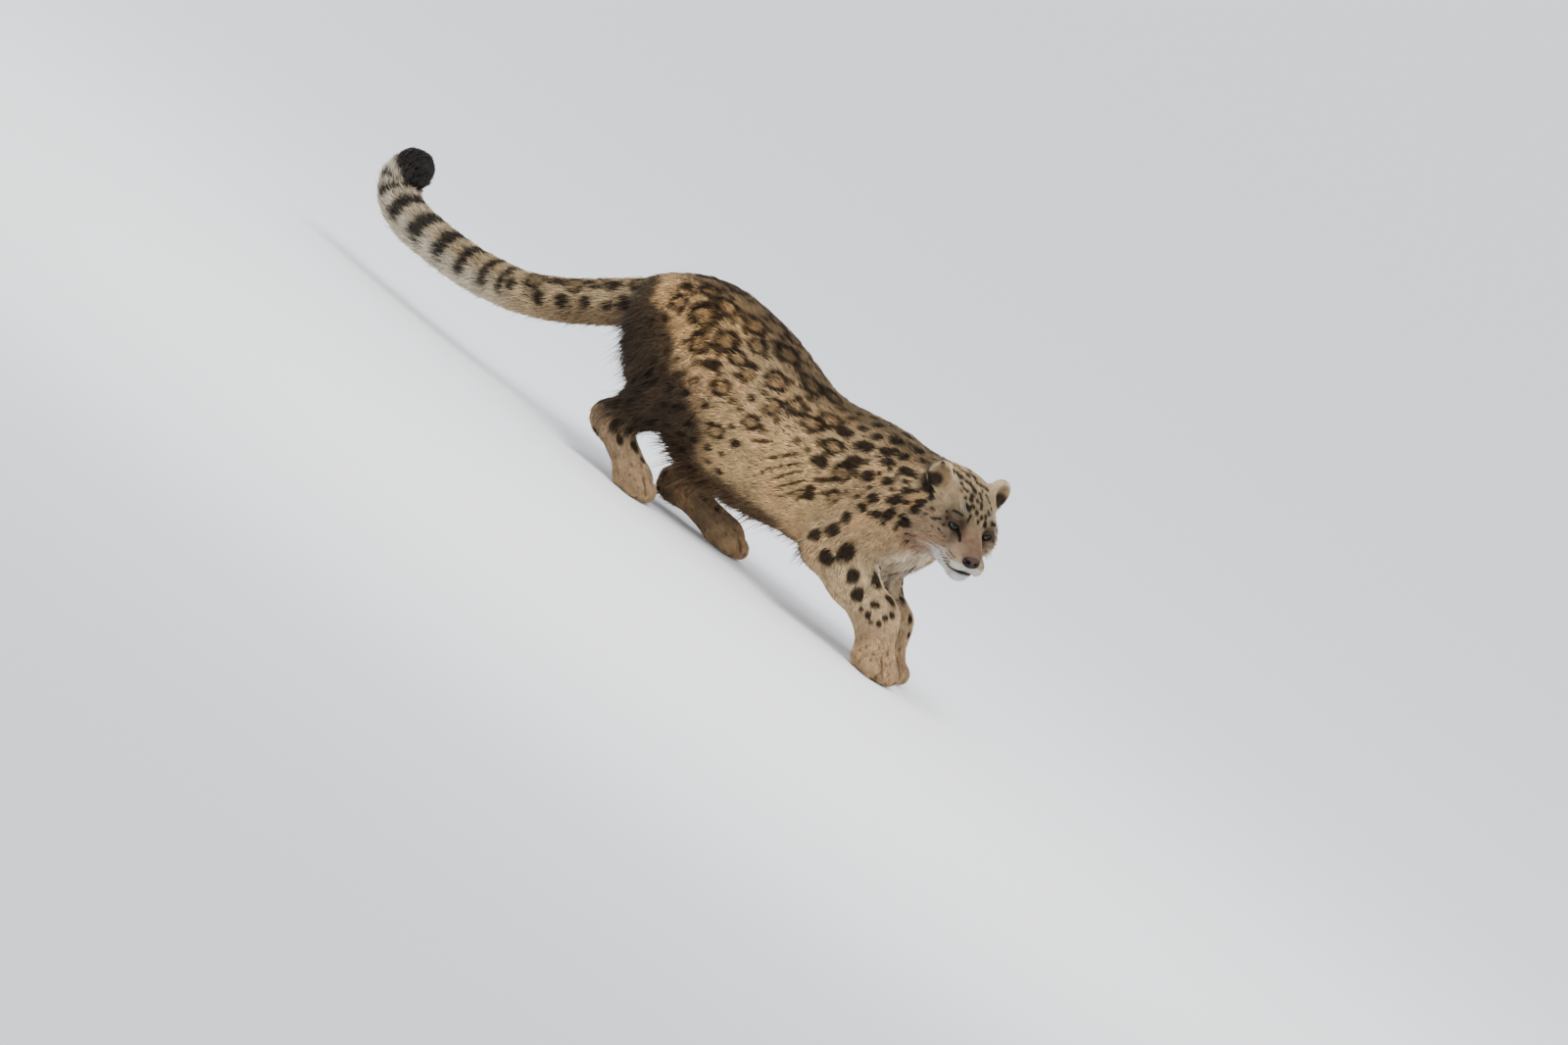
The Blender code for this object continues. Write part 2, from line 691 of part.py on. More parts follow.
def make_head(forms, finishes):
    """Skull with lids, and the ears, lower jaw and nose parted from it."""
    whole = sculpt(head_forms() + neck_forms(), forms, 0.0030, HEAD_TRIANGLES)
    fuse(whole, grown_locks(forms, head_rows(), 13))
    between(whole, [opposite(NECK_CUT)])
    frame = head_matrix()
    tilt = frame @ Matrix.Translation((0.155, 0, -0.0585)) @ Matrix.Rotation(math.radians(2.0), 4, "Y")
    blocks = {"jaw": ((-0.073, -0.07, -0.06), (0.03, 0.07, 0.0), tilt)}
    for side, way in SIDES.items():
        lean = frame @ Matrix.Translation((-0.018, way * 0.062, 0.046)) @ Matrix.Rotation(way * -0.42, 4, "X")
        blocks[f"ear_{side}"] = ((-0.05, -0.036, 0.0), (0.05, 0.046, 0.10), lean)
    for name, (lowest, highest, matrix) in blocks.items():
        piece = part_off(whole, name, lowest, highest, matrix)
        finish_piece(piece, name, finishes["coat"])
    nose = copy_of(whole, "nose")
    carve(nose, ball("cut_nose", NOSE_PLACE, NOSE_RADII, 0), "INTERSECT")
    for side, way in SIDES.items():
        carve(nose, ball(f"nostril_{side}", nostril_place(way), NOSTRIL_RADII, 0, (0, 0, way * 0.7)), "DIFFERENCE")
    carve(whole, ball("part_nose", NOSE_PLACE, NOSE_RADII, PART_GAP), "DIFFERENCE")
    finish_piece(nose, "nose", finishes["nose"])
    for side, way in SIDES.items():
        place, radii = eye_place(way), (EYE_RADIUS,) * 3
        eye = copy_of(ball(f"cut_eye_{side}", place, radii, 0, gaze(way)), "eye")
        carve(whole, ball(f"part_eye_{side}", place, radii, PART_GAP, gaze(way)), "DIFFERENCE")
        carve(whole, ball(f"lids_{side}", lids_place(way), LIDS_RADII, 0, lids_turn(way)), "DIFFERENCE")
        finish_piece(eye, f"eye_{side}", finishes["eye"])
    finish_piece(whole, "head", finishes["coat"])


def part_off(whole, name, lowest, highest, matrix):
    """Takes what a box holds out of a mesh, with half the parting gap on either side of the cut."""
    piece = copy_of(whole, name)
    shrunk = ([v + PART_GAP / 2 for v in lowest], [v - PART_GAP / 2 for v in highest])
    grown = ([v - PART_GAP / 2 for v in lowest], [v + PART_GAP / 2 for v in highest])
    carve(piece, block(f"cut_{name}", *shrunk, matrix), "INTERSECT")
    carve(whole, block(f"part_{name}", *grown, matrix), "DIFFERENCE")
    return piece


def parted(obj, names, cuts, finish, ahead=()):
    """Parts a mesh along its length into named pieces. The first also ends at any cut ahead of it."""
    limits = [None] + list(cuts) + [None]
    for name, before, after in zip(names, limits, limits[1:]):
        if name is None:
            continue
        piece = copy_of(obj, name)
        planes = ([opposite(before)] if before else list(ahead)) + ([after] if after else [])
        between(piece, planes)
        finish_piece(piece, name, finish)
    bpy.data.objects.remove(obj)


def make_body(forms, finishes):
    """Trunk, neck and legs from one surface. The legs are boxed out of it, then all is cut in lengths."""
    cast = trunk_forms() + neck_forms() + tail_forms()[:6]
    for side in SIDES:
        cast += foreleg_forms(side)[:6] + hindleg_forms(side)[:6]
    whole = sculpt(cast, forms, 0.009, BODY_TRIANGLES)
    fuse(whole, grown_locks(forms, body_rows(), 11))
    between(whole, [tail_plane(TAIL_CUTS[0])])
    for side, way in SIDES.items():
        for kind, (lowest, highest) in (("fore", FORELEG_BOX[side]), ("hind", HINDLEG_BOX[side])):
            matrix = Matrix.Translation((0, way * LEG_INSIDE[kind], 0)) @ Matrix.Rotation(-way * LEG_LEAN, 4, "X")
            near, far = sorted((0.0, way * 0.20))
            low, high = (lowest[0], near, lowest[1]), (highest[0], far, highest[1])
            leg = part_off(whole, f"{kind}leg_{side}", low, high, matrix)
            if kind == "fore":
                names, cuts, ahead = ("shoulder", "forearm", None), (ELBOW_CUT[side], WRIST_CUT[side]), [NECK_CUT]
            else:
                names, cuts, ahead = ("thigh", "shank", None), (KNEE_CUT[side], HOCK_CUT[side]), []
            parted(leg, [name and f"{name}_{side}" for name in names], cuts, finishes["coat"], ahead)
    names = ("neck", "chest", "belly", "rump")
    parted(whole, names, (SHOULDER_CUT, CHEST_CUT, LOIN_CUT), finishes["coat"], [NECK_CUT])


def make_paws(forms, finishes):
    """Paws from the last cut of each leg, flat where they stand."""
    for side in SIDES:
        for name, leg, cut in (
            ("forepaw", foreleg_forms(side)[3:], WRIST_CUT[side]),
            ("hindpaw", hindleg_forms(side)[2:], HOCK_CUT[side]),
        ):
            paw = sculpt(leg, forms, 0.0050, PAW_TRIANGLES)
            halved(paw, (0, 0, 0), (0, 0, -1))
            between(paw, [opposite(cut)])
            finish_piece(paw, f"{name}_{side}", finishes["coat"])


def make_tail(forms, finishes):
    """The tail in five lengths, from the root to the tip."""
    whole = sculpt(tail_forms(), forms, 0.0075, TAIL_TRIANGLES)
    fuse(whole, grown_locks(forms, tail_rows(), 12))
    names = [None] + [f"tail_{number}" for number in range(1, 6)]
    parted(whole, names, [tail_plane(share) for share in TAIL_CUTS], finishes["coat"])


def centre_on_floor():
    """Moves every piece so that the box round the animal is centred over the origin."""
    corners = np.concatenate([vertex_places(obj) for obj in ANIMAL.objects])
    middle = (corners.min(0) + corners.max(0)) / 2
    shift = Matrix.Translation((-middle[0], -middle[1], 0))
    for obj in ANIMAL.objects:
        obj.data.transform(shift)


# Cuts between the regions, as a point and the way the cut faces.
NECK_CUT = plane(in_head((-0.062, 0, -0.01)), (0.86, -0.36, 0.10))
SHOULDER_CUT = plane((-0.185, -0.01, 0.32), (-0.93, 0.16, -0.30))
CHEST_CUT = plane((-0.44, 0, 0.27), (-1, 0, 0))
LOIN_CUT = plane((-0.66, 0, 0.27), (-1, 0, 0))
ELBOW_CUT = {side: plane(np.array(ELBOW[side]) + (0, 0, 0.028), (0.15, 0, -1)) for side in SIDES}
WRIST_CUT = {side: limb_plane(WRIST[side], FORE_BALL[side], 0.15) for side in SIDES}
KNEE_CUT = {side: plane(np.array(KNEE[side]) - (0, 0, 0.034), (-0.15, 0, -1)) for side in SIDES}
HOCK_CUT = {side: plane(np.array(HOCK[side]) + (0.030, 0, 0.042), (-0.20, 0, -1)) for side in SIDES}
TAIL_CUTS = (0.12, 0.30, 0.48, 0.66, 0.83)

# Boxes that hold the legs, as rear and low to front and high, with a leaning inner face.
LEG_INSIDE = {"fore": 0.010, "hind": 0.020}
LEG_LEAN = 0.120
FORELEG_BOX = {"right": ((-0.315, -0.04), (0.10, 0.30)), "left": ((-0.320, -0.04), (0.10, 0.30))}
HINDLEG_BOX = {"right": ((-0.96, -0.04), (-0.570, 0.37)), "left": ((-0.96, -0.04), (-0.480, 0.37))}

# Triangles that each region is thinned to.
HEAD_TRIANGLES = 2500
BODY_TRIANGLES = 2300
PAW_TRIANGLES = 440
TAIL_TRIANGLES = 760

clear_scene()
ANIMAL = bpy.data.collections.new("snow_leopard")
CUTTERS = bpy.data.collections.new("cutters")
bpy.context.scene.collection.children.link(ANIMAL)
bpy.context.scene.collection.children.link(CUTTERS)


def main():
    finishes = {
        "coat": material("coat", (0.42, 0.33, 0.23), 0.85),
        "nose": material("nose", (0.12, 0.08, 0.07), 0.45),
        "eye": material("eye", (0.30, 0.34, 0.28), 0.10),
    }
    forms = all_forms()
    make_head(forms, finishes)
    make_body(forms, finishes)
    make_paws(forms, finishes)
    make_tail(forms, finishes)
    centre_on_floor()


main()
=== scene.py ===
"""A snow leopard in its winter coat, life size: a low walk with the head turned to its right.

The file goes from the skin to the eyes, the nose, the coat and the whiskers, and then to the studio.
Metres, +Z up, the nose towards +X. The animal is laid out with its near front paw at X = 0 and is moved
onto the solids at the end of each piece.
"""

import math

import bpy
import numpy as np
from mathutils import Euler, Matrix, Vector


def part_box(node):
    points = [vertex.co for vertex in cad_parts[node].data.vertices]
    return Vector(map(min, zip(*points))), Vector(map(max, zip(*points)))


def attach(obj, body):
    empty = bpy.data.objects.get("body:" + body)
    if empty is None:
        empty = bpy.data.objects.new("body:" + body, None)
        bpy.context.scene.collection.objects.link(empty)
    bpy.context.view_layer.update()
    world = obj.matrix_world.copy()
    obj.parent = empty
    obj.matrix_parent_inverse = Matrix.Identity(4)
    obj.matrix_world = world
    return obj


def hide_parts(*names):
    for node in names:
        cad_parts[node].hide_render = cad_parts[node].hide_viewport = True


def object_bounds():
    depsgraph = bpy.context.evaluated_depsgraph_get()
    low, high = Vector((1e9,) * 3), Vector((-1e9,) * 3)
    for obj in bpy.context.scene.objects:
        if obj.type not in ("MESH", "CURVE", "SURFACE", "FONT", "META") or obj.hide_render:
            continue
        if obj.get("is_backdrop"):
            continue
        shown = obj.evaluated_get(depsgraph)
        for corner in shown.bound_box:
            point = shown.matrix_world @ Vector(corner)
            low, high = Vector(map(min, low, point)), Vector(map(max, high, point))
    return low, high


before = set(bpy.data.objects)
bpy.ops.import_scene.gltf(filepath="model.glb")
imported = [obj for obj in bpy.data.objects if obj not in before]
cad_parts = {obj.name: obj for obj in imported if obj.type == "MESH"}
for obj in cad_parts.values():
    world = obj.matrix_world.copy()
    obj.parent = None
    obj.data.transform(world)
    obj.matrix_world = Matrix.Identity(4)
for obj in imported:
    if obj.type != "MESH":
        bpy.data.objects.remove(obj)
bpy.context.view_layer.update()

# The skin. A leopard's hide is one piece from the lips to the tip of the tail, and all that shows of it is
# what the fur leaves open. It is made of the same rounded masses as the solids, melted into one surface
# that lies inside them by the depth of the coat, so no seam shows between the parts.
SIDES = {"right": -1, "left": 1}
TRUNK_HALF_WIDTH = 0.128
NECK_RADIUS = 0.098
TAIL_RADIUS = 0.047
TAIL_BASE_RADIUS = 0.054
TAIL_STEPS = 33
PAW_HALF_WIDTH = 0.053
PAW_HALF_LENGTH = 0.060
HIND_PAW_SCALE = 0.92
EYE_RADIUS = 0.0145
BODY_VOXEL = 0.0055
HEAD_VOXEL = 0.0025
FINEST_BALL = 0.004
FOLD_PLACE = (-0.418, 0.125, 0.222)
FOLD_REACH = (0.050, 0.050, 0.048)
FOLD_HEIGHT = 0.0035
FOLD_GAP = 0.0195
SOLE_HEIGHT = 0.0012
SLOPE_STEP = 0.0006
FORM_MARGIN = 0.05
COAT_MARGIN = 0.07
SMALL_COATS = ("bare", "lid", "ear", "bridge", "muzzle")
SMALL_SOFTNESS = 0.004
LARGE_SOFTNESS = 0.011
LID_WEIGHT = 60
LID_OPENING = ((0.0865, 0.0420, 0.0090), (0.0090, 0.0120, 0.0057), (0.22, 0, 0.35))
NOSTRIL_HOLLOW = ((0.1570, 0.0110, -0.0275), (0.0110, 0.0075, 0.0056), (0, 0, 0.7))
# How far the skin is darkened as painted shade, seen in the gaps between the tufts.
SKIN_PAINTED_SHADE = 0.88

HIP = {"right": (-0.805, -0.062, 0.340), "left": (-0.790, 0.062, 0.335)}
KNEE = {"right": (-0.684, -0.112, 0.233), "left": (-0.600, 0.115, 0.198)}
HOCK = {"right": (-0.806, -0.100, 0.102), "left": (-0.678, 0.100, 0.056)}
HIND_BALL = {"right": (-0.688, -0.100, 0.036), "left": (-0.528, 0.104, 0.034)}
SHOULDER = {"right": (-0.175, -0.082, 0.275), "left": (-0.175, 0.082, 0.275)}
ELBOW = {"right": (-0.232, -0.100, 0.168), "left": (-0.240, 0.092, 0.168)}
WRIST = {"right": (-0.066, -0.084, 0.108), "left": (-0.100, 0.080, 0.098)}
FORE_BALL = {"right": (-0.020, -0.080, 0.040), "left": (-0.066, 0.076, 0.038)}
FORE_TOE_TURN = {"right": math.radians(-14), "left": math.radians(6)}
HIND_TOE_TURN = {"right": math.radians(-6), "left": math.radians(6)}
HEAD_PLACE = (-0.052, -0.070, 0.378)
HEAD_TURN = Euler((math.radians(12), math.radians(9.5), math.radians(-37.5)), "XYZ")
TAIL_LINE = (
    (-0.890, 0.000, 0.354), (-0.967, 0.000, 0.306), (-1.036, 0.004, 0.260), (-1.117, 0.016, 0.214),
    (-1.199, 0.036, 0.182), (-1.286, 0.062, 0.163), (-1.380, 0.092, 0.152), (-1.472, 0.122, 0.149),
    (-1.549, 0.148, 0.153), (-1.602, 0.166, 0.175), (-1.620, 0.172, 0.207), (-1.608, 0.168, 0.238),
)


def tone(red, green, blue):
    """A colour as the eye sees it, from 0 to 255, to the amount of light that it reflects."""
    part = np.array((red, green, blue)) / 255
    return np.where(part < 0.04045, part / 12.92, ((part + 0.055) / 1.055) ** 2.4)


# Each kind of coat: its depth, the length and width of a tuft, the skin that one tuft covers in square
# millimetres, how far its tips stand off for their length, how much they clump, and its ground colour.
COATS = {
    "back": (0.0150, 0.023, 0.0020, 7.0, 0.05, 0.38, tone(186, 157, 116)),
    # The belly's dark ground is partly wet fur and partly painted shade under the body.
    "belly": (0.0160, 0.050, 0.0026, 5.4, 0.52, 0.90, tone(112, 90, 66)),
    "chest": (0.0160, 0.034, 0.0021, 7.8, 0.07, 0.40, tone(230, 212, 186)),
    "neck": (0.0140, 0.021, 0.0018, 6.3, 0.05, 0.34, tone(188, 160, 120)),
    "shoulder": (0.0120, 0.019, 0.0017, 6.0, 0.045, 0.30, tone(182, 152, 112)),
    "elbow": (0.0120, 0.038, 0.0024, 7.0, 0.36, 0.80, tone(84, 64, 44)),
    "forearm": (0.0065, 0.015, 0.0014, 4.3, 0.04, 0.28, tone(196, 170, 132)),
    "paw": (0.0040, 0.011, 0.0011, 3.2, 0.06, 0.20, tone(190, 158, 120)),
    "thigh": (0.0140, 0.021, 0.0019, 6.6, 0.06, 0.42, tone(190, 156, 112)),
    "rear": (0.0170, 0.042, 0.0024, 6.6, 0.58, 0.95, tone(54, 42, 31)),
    "shank": (0.0090, 0.024, 0.0018, 6.0, 0.12, 0.70, tone(104, 82, 58)),
    "foot": (0.0050, 0.013, 0.0012, 3.7, 0.06, 0.25, tone(162, 136, 106)),
    "tail": (0.0150, 0.027, 0.0019, 6.6, 0.08, 0.42, tone(172, 148, 112)),
    "crown": (0.0055, 0.012, 0.0009, 2.5, 0.05, 0.20, tone(145, 126, 97)),
    "cheek": (0.0075, 0.018, 0.0011, 3.1, 0.10, 0.40, tone(156, 131, 103)),
    "jaw": (0.0045, 0.011, 0.0009, 2.7, 0.08, 0.20, tone(214, 212, 206)),
    "muzzle": (0.0018, 0.0065, 0.0006, 1.35, 0.06, 0.05, tone(168, 142, 112)),
    "bridge": (0.0018, 0.0065, 0.0006, 1.45, 0.03, 0.05, tone(126, 98, 76)),
    "lid": (0.0008, 0.0040, 0.0006, 1.1, 0.04, 0.0, tone(66, 52, 40)),
    "ear": (0.0016, 0.0100, 0.0008, 1.6, 0.08, 0.15, tone(184, 164, 132)),
    "bare": (0.0, 0.0030, 0.0006, 3000.0, 0.0, 0.0, tone(60, 46, 40)),
}


def unit(vector):
    return np.array(vector, float) / np.linalg.norm(vector)


def units(vectors):
    """Each row brought to length 1."""
    return vectors / np.maximum(np.linalg.norm(vectors, axis=1), 1e-9)[:, None]


def flattened(vectors, normals):
    """Vectors laid flat on the surface, at length 1."""
    return units(vectors - normals * (vectors * normals).sum(1)[:, None])


def mirrored(place, way):
    """A place given for the left side, on the side that way stands for."""
    return (place[0], way * place[1], place[2])


def mirrored_turn(turn, way):
    return (way * turn[0], turn[1], way * turn[2])


def axes_from(turn):
    """Columns are the axes of something turned by these angles."""
    return np.array(Euler(turn, "XYZ").to_matrix())


def head_matrix():
    return Matrix.Translation(HEAD_PLACE) @ HEAD_TURN.to_matrix().to_4x4()


def in_head(place):
    """A place in the head's own frame, nose ahead, to the model's frame."""
    return np.array(head_matrix() @ Vector(place))


HEAD_AXES = np.array(HEAD_TURN.to_matrix())


def head_places(points):
    """Places in the model's frame to the head's own frame."""
    return (points - np.array(HEAD_PLACE)) @ HEAD_AXES


def step(start, end, value):
    """Runs smoothly from 0 where the value is at start to 1 where it is at end."""
    share = np.clip((value - start) / (end - start), 0, 1)
    return share * share * (3 - 2 * share)


def trunk_lie(points):
    """The fur of the trunk lies backwards, and turns down towards the belly."""
    low = np.clip((0.34 - points[:, 2]) / 0.22, 0, 1)
    return np.stack([-np.ones(len(points)), np.zeros(len(points)), -0.10 - 0.80 * low], 1)


def head_lie(points):
    """The fur of the head parts at the nose: outwards over the face, then back along the skull."""
    away = head_places(points) - (0, 0, -0.022)
    away[:, 0] = 0
    away = units(away)
    away[:, 2] -= 0.10
    away[:, 0] = -0.55
    return away @ HEAD_AXES.T


class Mass:
    """A rounded mass: an ellipsoid, or a rod that tapers to its end. A dent is cut away."""

    def __init__(self, start, end, radii, blend, coat, lie, axes=None, squash=None, dent=False):
        self.start = np.array(start, float)
        self.end = None if end is None else np.array(end, float)
        self.radii = np.array(radii, float)
        self.blend = blend
        self.coat = coat
        self.lie = lie
        self.axes = np.identity(3) if axes is None else np.array(axes, float)
        self.squash = squash
        self.dent = dent
        middle = self.start if self.end is None else (self.start + self.end) / 2
        half = 0.0 if self.end is None else float(np.linalg.norm(self.end - self.start)) / 2
        self.middle, self.reach = middle, half + float(self.radii.max())

    def near(self, points, margin):
        """Which points lie within this margin of the ball round the mass."""
        return ((points - self.middle) ** 2).sum(1) < (self.reach + margin) ** 2

    def distance(self, points):
        """Roughly how far points are from the surface, negative inside."""
        if self.end is None:
            local = (points - self.start) @ self.axes / self.radii
            size = np.linalg.norm(local, axis=1)
            slope = np.linalg.norm(local / self.radii, axis=1)
            return size * (size - 1) / np.maximum(slope, 1e-9)
        along = self.end - self.start
        offset = points - self.start
        share = np.clip(offset @ along / (along @ along), 0, 1)
        away = offset - share[:, None] * along
        if self.squash is not None:
            across, ratio = self.squash
            across = np.array(across, float)
            away = away + (away @ across)[:, None] * across * (1 / ratio - 1)
        return np.linalg.norm(away, axis=1) - (self.radii[0] + share * (self.radii[1] - self.radii[0]))


def mass(coat, lie, centre, radii, turn=(0, 0, 0), blend=0.04):
    return Mass(centre, None, radii, blend, coat, lie, axes_from(turn))


def limb(coat, start, end, start_radius, end_radius, blend=0.03, lie=None, squash=None):
    lie = unit(np.array(end, float) - np.array(start, float)) if lie is None else lie
    return Mass(start, end, (start_radius, end_radius), blend, coat, lie, None, squash)


def head_mass(coat, centre, radii, turn=(0, 0, 0), blend=0.02, lie=head_lie, dent=False):
    axes = HEAD_AXES @ axes_from(turn)
    return Mass(in_head(centre), None, radii, blend, coat, lie, axes, None, dent)


def head_limb(coat, start, end, start_radius, end_radius, blend=0.02, dent=False):
    radii = (start_radius, end_radius)
    return Mass(in_head(start), in_head(end), radii, blend, coat, head_lie, None, None, dent)


def trunk_masses():
    wide = TRUNK_HALF_WIDTH
    masses = [
        mass("back", trunk_lie, (-0.42, 0, 0.268), (0.235, wide, 0.150), (0, 0.03, 0), 0.03),
        mass("back", trunk_lie, (-0.58, 0, 0.262), (0.200, wide * 1.05, 0.148), (0, -0.03, 0), 0.08),
        mass("back", trunk_lie, (-0.68, 0, 0.346), (0.185, wide * 0.86, 0.126), (0, 0.02, 0), 0.07),
        mass("back", trunk_lie, (-0.805, 0, 0.343), (0.142, wide * 0.88, 0.116), (0, -0.45, 0), 0.06),
        mass("back", trunk_lie, (-0.25, 0, 0.245), (0.125, wide * 0.80, 0.120), (0, -0.25, 0), 0.06),
        mass("chest", (-0.45, 0, -0.90), (-0.20, 0.010, 0.246), (0.090, 0.085, 0.084), blend=0.04),
        mass("back", trunk_lie, (-0.31, 0, 0.325), (0.150, wide * 0.72, 0.105), (0, 0.05, 0), 0.05),
        limb("belly", (-0.70, 0, 0.215), (-0.62, 0, 0.175), 0.075, 0.065, 0.06, (-0.7, 0, -0.7)),
    ]
    for side, way in SIDES.items():
        blade = ((SHOULDER[side][0] - 0.305) / 2, way * 0.080, 0.325)
        lean = (way * 0.28, -0.45, 0)
        masses.append(mass("shoulder", (-0.80, 0, -0.55), blade, (0.070, 0.042, 0.115), lean, 0.05))
    return masses


def foreleg_masses(side):
    way = SIDES[side]
    shoulder, elbow, wrist, ball = SHOULDER[side], ELBOW[side], WRIST[side], FORE_BALL[side]
    point = (elbow[0] - 0.018, elbow[1], elbow[2] + 0.004)
    middle = [a + (b - a) * 0.45 for a, b in zip(elbow, wrist)]
    return [
        limb("shoulder", shoulder, elbow, 0.076, 0.058, 0.05, (-0.45, 0, -0.90)),
        mass("shoulder", (-0.60, 0, -0.80), point, (0.048, 0.040, 0.044), blend=0.03),
        limb("forearm", elbow, middle, 0.053, 0.050, 0.03, (0.25, 0, -0.80)),
        limb("forearm", middle, wrist, 0.050, 0.044, 0.03, (0.50, 0, -0.65)),
        limb("paw", wrist, ball, 0.043, 0.041, 0.03),
    ] + paw_masses(ball, FORE_TOE_TURN[side], way, 1.0)


def hindleg_masses(side):
    way = SIDES[side]
    hip, knee, hock, ball = HIP[side], KNEE[side], HOCK[side], HIND_BALL[side]
    buttock = (hip[0] + 0.016, hip[1] + way * 0.016, 0.272)
    heel = (hock[0] - 0.006, hock[1], hock[2] - 0.004)
    return [
        limb("thigh", hip, knee, 0.096, 0.060, 0.06, (-0.55, 0, -0.80), ((0, 1, 0), 0.80)),
        mass("thigh", (-0.45, 0, -0.90), buttock, (0.074, 0.056, 0.100), (0, 0.30, 0), 0.05),
        limb("shank", knee, hock, 0.056, 0.035, 0.04, (-0.70, 0, -0.70)),
        mass("foot", (-0.10, 0, -1.0), heel, (0.036, 0.028, 0.034), blend=0.02),
        limb("foot", hock, ball, 0.033, 0.034, 0.025),
    ] + paw_masses(ball, HIND_TOE_TURN[side], way, HIND_PAW_SCALE)


def paw_axes(turn):
    """Ahead of a paw with this turn, and to its left."""
    return np.array((math.cos(turn), math.sin(turn), 0)), np.array((-math.sin(turn), math.cos(turn), 0))


def paw_masses(ball, turn, way, scale):
    """A broad furred paw: a low pad mass and four toes, the middle two longest."""
    ahead, aside = paw_axes(turn)
    base = np.array((ball[0], ball[1], 0))
    wide, long = PAW_HALF_WIDTH * scale, PAW_HALF_LENGTH * scale
    lie = ahead + np.array((0, 0, -0.55))
    pad = base + ahead * 0.002 + (0, 0, 0.026)
    masses = [mass("paw", lie, pad, (long * 0.80, wide * 0.86, 0.036), (0, 0, turn), 0.02)]
    for across, out in ((-0.72, 0.60), (-0.26, 0.86), (0.24, 0.90), (0.70, 0.66)):
        place = base + ahead * long * out * 0.80 + aside * wide * across * way + (0, 0, 0.022)
        toe = (0.027 * scale, 0.0145 * scale, 0.025 * scale)
        masses.append(mass("paw", lie, place, toe, (0, 0.25, turn), 0.005))
    return masses


def tail_place(share):
    """A place on the smooth curve through the tail's line, from its root at 0 to its tip at 1."""
    along = share * (len(TAIL_LINE) - 1)
    first = min(int(along), len(TAIL_LINE) - 2)
    here = along - first
    line = [TAIL_LINE[max(0, min(len(TAIL_LINE) - 1, first + stop))] for stop in (-1, 0, 1, 2)]
    before, start, end, after = (np.array(place) for place in line)
    bend = 2 * before - 5 * start + 4 * end - after
    twist = 3 * start - before - 3 * end + after
    return start + 0.5 * here * (end - before + here * (bend + here * twist))


def tail_masses():
    stops = [stop / TAIL_STEPS for stop in range(TAIL_STEPS + 1)]
    radii = [TAIL_BASE_RADIUS + (TAIL_RADIUS - TAIL_BASE_RADIUS) * min(1, stop * 3) for stop in stops]
    places = [tail_place(stop) for stop in stops]
    masses = [limb("tail", *places[n:n + 2], *radii[n:n + 2], 0.003) for n in range(TAIL_STEPS)]
    masses[0].blend = 0.05
    return masses


def neck_masses():
    nape, throat = in_head((-0.045, 0, 0.005)), in_head((-0.020, 0, -0.035))
    return [
        limb("neck", (-0.300, 0, 0.318), nape, NECK_RADIUS * 1.12, 0.080, 0.05, (-0.95, 0.05, -0.35)),
        limb("neck", (-0.225, -0.004, 0.270), throat, NECK_RADIUS, 0.054, 0.05, (-0.75, 0.05, -0.80)),
    ]


def eye_place(way):
    return (0.0695, way * 0.0365, 0.0120)


def gaze(way):
    """The turn of an eye that looks ahead and a little outwards."""
    return (0, 0, way * 0.35)


